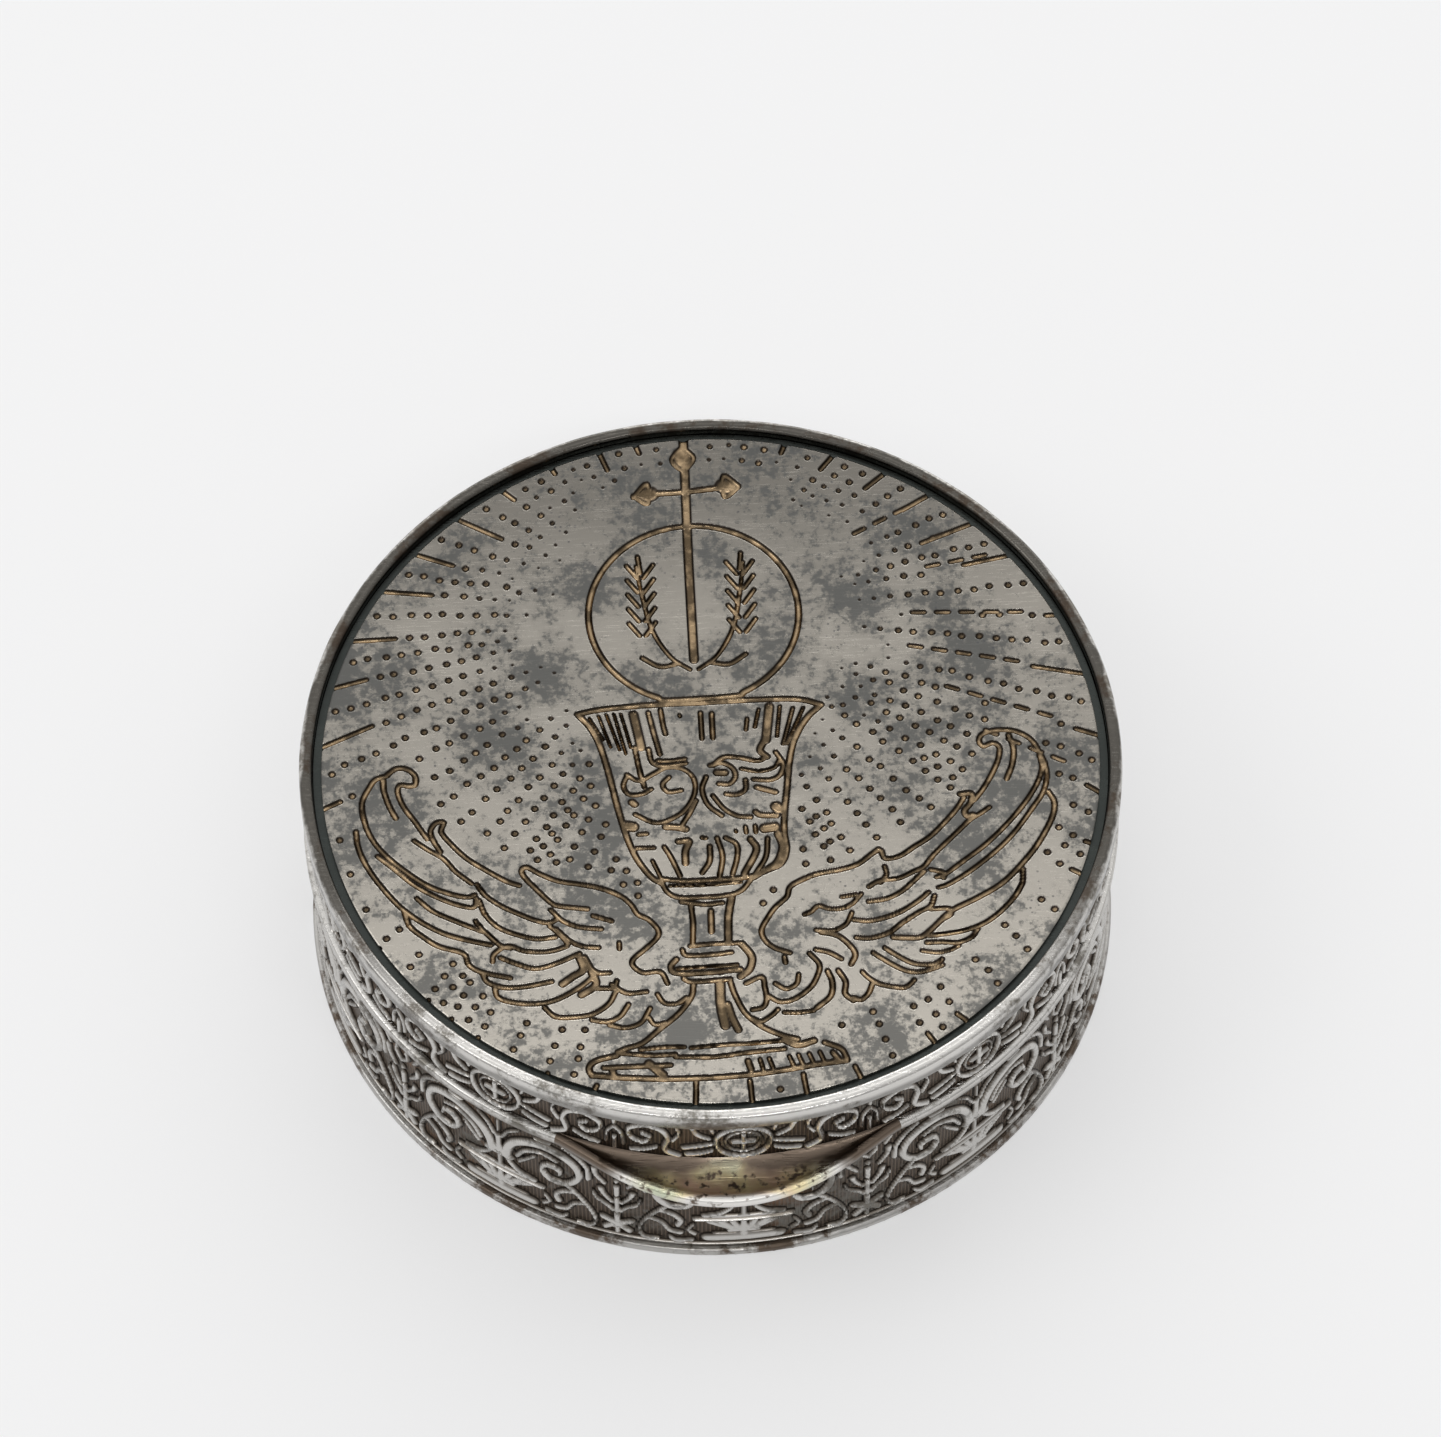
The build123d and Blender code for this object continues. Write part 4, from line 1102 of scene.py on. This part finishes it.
def pale_floor(scene):
    """The floor that takes the object's shadow."""
    mesh = bpy.data.meshes.new("floor")
    corners = [(x * FLOOR_HALF, y * FLOOR_HALF, 0) for x, y in ((-1, -1), (1, -1), (1, 1), (-1, 1))]
    mesh.from_pydata(corners, [], [(0, 1, 2, 3)])
    floor = bpy.data.objects.new("floor", mesh)
    scene.collection.objects.link(floor)
    material = bpy.data.materials.new("Pale floor")
    material.use_nodes = True
    tree = material.node_tree
    inputs = tree.nodes["Principled BSDF"].inputs
    inputs["Base Color"].default_value = scene.pyx_colours.floor
    inputs["Roughness"].default_value = 0.8
    rays = tree.nodes.new("ShaderNodeLightPath").outputs
    seen = math_node(tree, "MAXIMUM", rays["Is Camera Ray"], rays["Is Glossy Ray"])
    inputs["Emission Color"].default_value = (1, 1, 1, 1)
    tree.links.new(math_node(tree, "MULTIPLY", seen, FLOOR_GLOW), inputs["Emission Strength"])
    dress(floor, material)


def softboxes(scene):
    """Four soft lamps aimed at the box."""
    for name, place, size, power in SOFTBOXES:
        lamp = bpy.data.lights.new(name, "AREA")
        lamp.shape, lamp.size, lamp.size_y, lamp.energy = "RECTANGLE", size[0], size[1], power
        box = bpy.data.objects.new(name, lamp)
        box.location = place
        box.rotation_euler = (Vector((0, 0, 0.01)) - Vector(place)).to_track_quat("-Z", "Y").to_euler()
        scene.collection.objects.link(box)


def studio_world(scene):
    """White light all round, brighter from above the back."""
    scene.world = bpy.data.worlds.new("Studio")
    scene.world.use_nodes = True
    tree = scene.world.node_tree
    inputs = tree.nodes["Background"].inputs
    toward = tree.nodes.new("ShaderNodeTexCoord").outputs["Generated"]
    facing = add(tree, "ShaderNodeVectorMath", {0: toward, 1: WORLD_BRIGHT_SIDE}, operation="DOT_PRODUCT")
    soft = ranged(tree, facing.outputs["Value"], -0.1, 0.85, WORLD_DIM, WORLD_BRIGHT)
    tree.links.new(soft, inputs["Strength"])
    inputs["Color"].default_value = (1, 1, 1, 1)
    scene.view_settings.view_transform = "Standard"


def photo_camera(scene):
    """The camera where the photograph was taken from."""
    lens = bpy.data.cameras.new("Camera")
    lens.lens, lens.sensor_width = 36 * CAMERA_FOCAL / IMAGE_SIZE[0], 36
    camera = bpy.data.objects.new("Camera", lens)
    position, aim = Vector(CAMERA_PLACE) * MM, Vector(CAMERA_AIM) * MM
    turn = (aim - position).to_track_quat("-Z", "Y").to_matrix().to_4x4()
    roll = Matrix.Rotation(math.radians(CAMERA_ROLL), 4, "Z")
    camera.matrix_world = Matrix.Translation(position) @ turn @ roll
    scene.collection.objects.link(camera)
    scene.camera = camera


# Add-on

COLOUR = {"subtype": "COLOR", "size": 4}


class PyxSizes(bpy.types.PropertyGroup):
    """Sizes of the ornament."""

    groove_depth: bpy.props.FloatProperty(
        name="Groove depth", description="Depth of the engraved lines",
        default=0.24 * MM, min=0.05 * MM, max=0.3 * MM, unit="LENGTH",
    )
    line_weight: bpy.props.FloatProperty(
        name="Line weight", description="Width of the engraved lines against their drawn width",
        default=1.0, min=0.5, max=1.5, subtype="FACTOR",
    )
    dot_size: bpy.props.FloatProperty(
        name="Dot size", description="Size of the punched dots against their drawn size",
        default=1.0, min=0.5, max=1.5, subtype="FACTOR",
    )
    row_spacing: bpy.props.FloatProperty(
        name="Row spacing", description="Angle between rows of dots",
        default=math.radians(5), min=math.radians(3), max=math.radians(10), subtype="ANGLE",
    )
    stamp_height: bpy.props.FloatProperty(
        name="Stamp height", description="Height of the stamped ornament against its drawn height",
        default=1.0, min=0.5, max=1.2, subtype="FACTOR",
    )
    rim_waver: bpy.props.FloatProperty(
        name="Rim waver", description="How uneven the worn rim wire is",
        default=WIRE_INSET * MM, min=0.0, max=0.1 * MM, unit="LENGTH",
    )


class PyxColours(bpy.types.PropertyGroup):
    """Colours of the finishes, as linear light."""

    silver: bpy.props.FloatVectorProperty(
        name="Silver", description="Clean parts of the face", default=(0.33, 0.308, 0.272, 1), **COLOUR
    )
    # Bright silver is also the painted highlight on the wires and round the lip's edge
    bright: bpy.props.FloatVectorProperty(
        name="Bright silver", description="Worn wires and high spots", default=(0.6, 0.585, 0.56, 1), **COLOUR
    )
    tarnish: bpy.props.FloatVectorProperty(
        name="Tarnish", description="Dark patches on the face", default=(0.08, 0.083, 0.082, 1), **COLOUR
    )
    # Own bronze of the engraved lines, partly lightened as a painted highlight on the groove floors
    bronze: bpy.props.FloatVectorProperty(
        name="Groove", description="Metal in the engraved lines", default=(0.36, 0.26, 0.155, 1), **COLOUR
    )
    pit: bpy.props.FloatVectorProperty(
        name="Pits", description="Small dark pits", default=(0.08, 0.08, 0.085, 1), **COLOUR
    )
    # Painted shade in the moat round the face
    moat: bpy.props.FloatVectorProperty(
        name="Moat", description="Dirt round the face", default=(0.045, 0.05, 0.047, 1), **COLOUR
    )
    # Darkened, this also gives the painted shade on the walls of the engraved grooves
    ground: bpy.props.FloatVectorProperty(
        name="Band ground", description="Dark ground of the bands", default=(0.08, 0.062, 0.048, 1), **COLOUR
    )
    copper: bpy.props.FloatVectorProperty(
        name="Copper", description="Warm patches on the bands", default=(0.2, 0.12, 0.075, 1), **COLOUR
    )
    gilt: bpy.props.FloatVectorProperty(
        name="Gilding", description="Inside of the box", default=(0.82, 0.6, 0.24, 1), **COLOUR
    )
    floor: bpy.props.FloatVectorProperty(
        name="Floor", description="Pale floor", default=(0.4, 0.4, 0.403, 1), **COLOUR
    )


class PYX_OT_engraved_plate(bpy.types.Operator):
    """Engraves the lid's plate: rays, dots, host, cup and wings"""

    bl_idname = "pyx.engraved_plate"
    bl_label = "Engraved plate"

    def execute(self, context):
        depths = engraving(context.scene.pyx_sizes)
        for side_x, side_y in ((-1, -1), (1, -1), (1, 1), (-1, 1)):
            sides = f"{'left' if side_x < 0 else 'right'}_{'front' if side_y < 0 else 'back'}"
            piece = engraved_quarter(f"engraved_plate_{sides}", depths, side_x, side_y)
            carry(piece, "lid", "lid_plate", finish("Engraved silver"))
        return {"FINISHED"}


class PYX_OT_bands(bpy.types.Operator):
    """Stamps the scroll ornament of the two wall bands"""

    bl_idname = "pyx.bands"
    bl_label = "Stamped bands"

    def execute(self, context):
        height = context.scene.pyx_sizes.stamp_height
        edges = (BODY_BAND_LOW, BODY_BAND_HIGH)
        beads = (BODY_BAND_LOW + BEAD_INSET, BODY_BAND_HIGH - BEAD_INSET)
        inner = CUP_RADIUS + SEAM
        body = stamped_tile("stamped_body_band", BODY_STAMP, inner, *edges, beads, (116, 80), height)
        ring_of_repeats(body, REPEATS, finish("Stamped silver"))
        carry(body, "box", "body_band")
        edges = (LID_BAND_LOW, LID_BAND_HIGH)
        beads = (LID_BAND_HIGH - BEAD_INSET,)
        inner = LINING_RADIUS + SEAM
        lid = stamped_tile("stamped_lid_band", LID_STAMP, inner, *edges, beads, (150, 46), height)
        ring_of_repeats(lid, REPEATS, finish("Stamped silver"))
        carry(lid, "lid", "lid_band")
        return {"FINISHED"}


class PYX_OT_wires(bpy.types.Operator):
    """Shapes the worn rim wire, the mouth wire and the thumb lip"""

    bl_idname = "pyx.wires"
    bl_label = "Wires and lip"

    def execute(self, context):
        inner, outer = PLATE_RADIUS + RIM_GAP, BOX_RADIUS - WIRE_INSET
        top, bottom = BOX_TOP - WIRE_INSET, RIM_BOTTOM + 0.02
        corners = (
            (inner, PLATE_BOTTOM, 0), (inner, top, 1), (outer, top, 1), (outer, bottom, 0.3),
            (outer - RIM_SKIRT, bottom, 0), (outer - RIM_SKIRT, PLATE_BOTTOM, 0),
        )
        waver = context.scene.pyx_sizes.rim_waver / MM
        rim = turned_ring("worn_rim_wire", rounded(corners, RIM_ROUNDING), waver)
        carry(rim, "lid", "lid_rim_wire", finish("Rim silver"))
        half = math.radians(LIP_HALF_ANGLE)
        lip = lofted("flared_lip", mouth_sections(np.linspace(-half, half, 97)))
        carry(lip, "lid", "thumb_lip", finish("Lip silver"))
        wire = lofted("worn_mouth_wire", mouth_sections(np.linspace(half, math.tau - half, 260)))
        carry(wire, "lid", "lid_mouth_wire", finish("Mouth silver"))
        return {"FINISHED"}


class PYX_OT_plain_pieces(bpy.types.Operator):
    """Gives the plain pieces of the frame their finishes"""

    bl_idname = "pyx.plain_pieces"
    bl_label = "Plain pieces"

    def execute(self, context):
        for nodes, name in ((GILT_NODES, "Gilt inside"), (DULL_NODES, "Dull silver")):
            for node in nodes:
                dress(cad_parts[node], finish(name))
        return {"FINISHED"}


class PYX_OT_stage(bpy.types.Operator):
    """Sets the pale floor, the soft light and the camera"""

    bl_idname = "pyx.stage"
    bl_label = "Floor, light and camera"

    def execute(self, context):
        for part in (pale_floor, softboxes, studio_world, photo_camera):
            part(context.scene)
        return {"FINISHED"}


class PYX_PT_panel(bpy.types.Panel):
    """Lists the pyx's sizes, colours and pieces"""

    bl_label = "Silver Pyx"
    bl_space_type = "VIEW_3D"
    bl_region_type = "UI"
    bl_category = "Pyx"

    def draw(self, context):
        for group in (context.scene.pyx_sizes, context.scene.pyx_colours):
            box = self.layout.box()
            for key in type(group).__annotations__:
                box.prop(group, key)
        for operator in PIECE_OPERATORS:
            self.layout.operator(operator.bl_idname)


PIECE_OPERATORS = (PYX_OT_engraved_plate, PYX_OT_bands, PYX_OT_wires, PYX_OT_plain_pieces, PYX_OT_stage)
CLASSES = (PyxSizes, PyxColours, *PIECE_OPERATORS, PYX_PT_panel)


def register():
    for cls in CLASSES:
        bpy.utils.register_class(cls)
    bpy.types.Scene.pyx_sizes = bpy.props.PointerProperty(type=PyxSizes)
    bpy.types.Scene.pyx_colours = bpy.props.PointerProperty(type=PyxColours)


def unregister():
    del bpy.types.Scene.pyx_colours
    del bpy.types.Scene.pyx_sizes
    for cls in reversed(CLASSES):
        bpy.utils.unregister_class(cls)


def main():
    register()
    bpy.ops.pyx.engraved_plate()
    bpy.ops.pyx.bands()
    bpy.ops.pyx.wires()
    bpy.ops.pyx.plain_pieces()
    bpy.ops.pyx.stage()


if __name__ == "__main__":
    main()
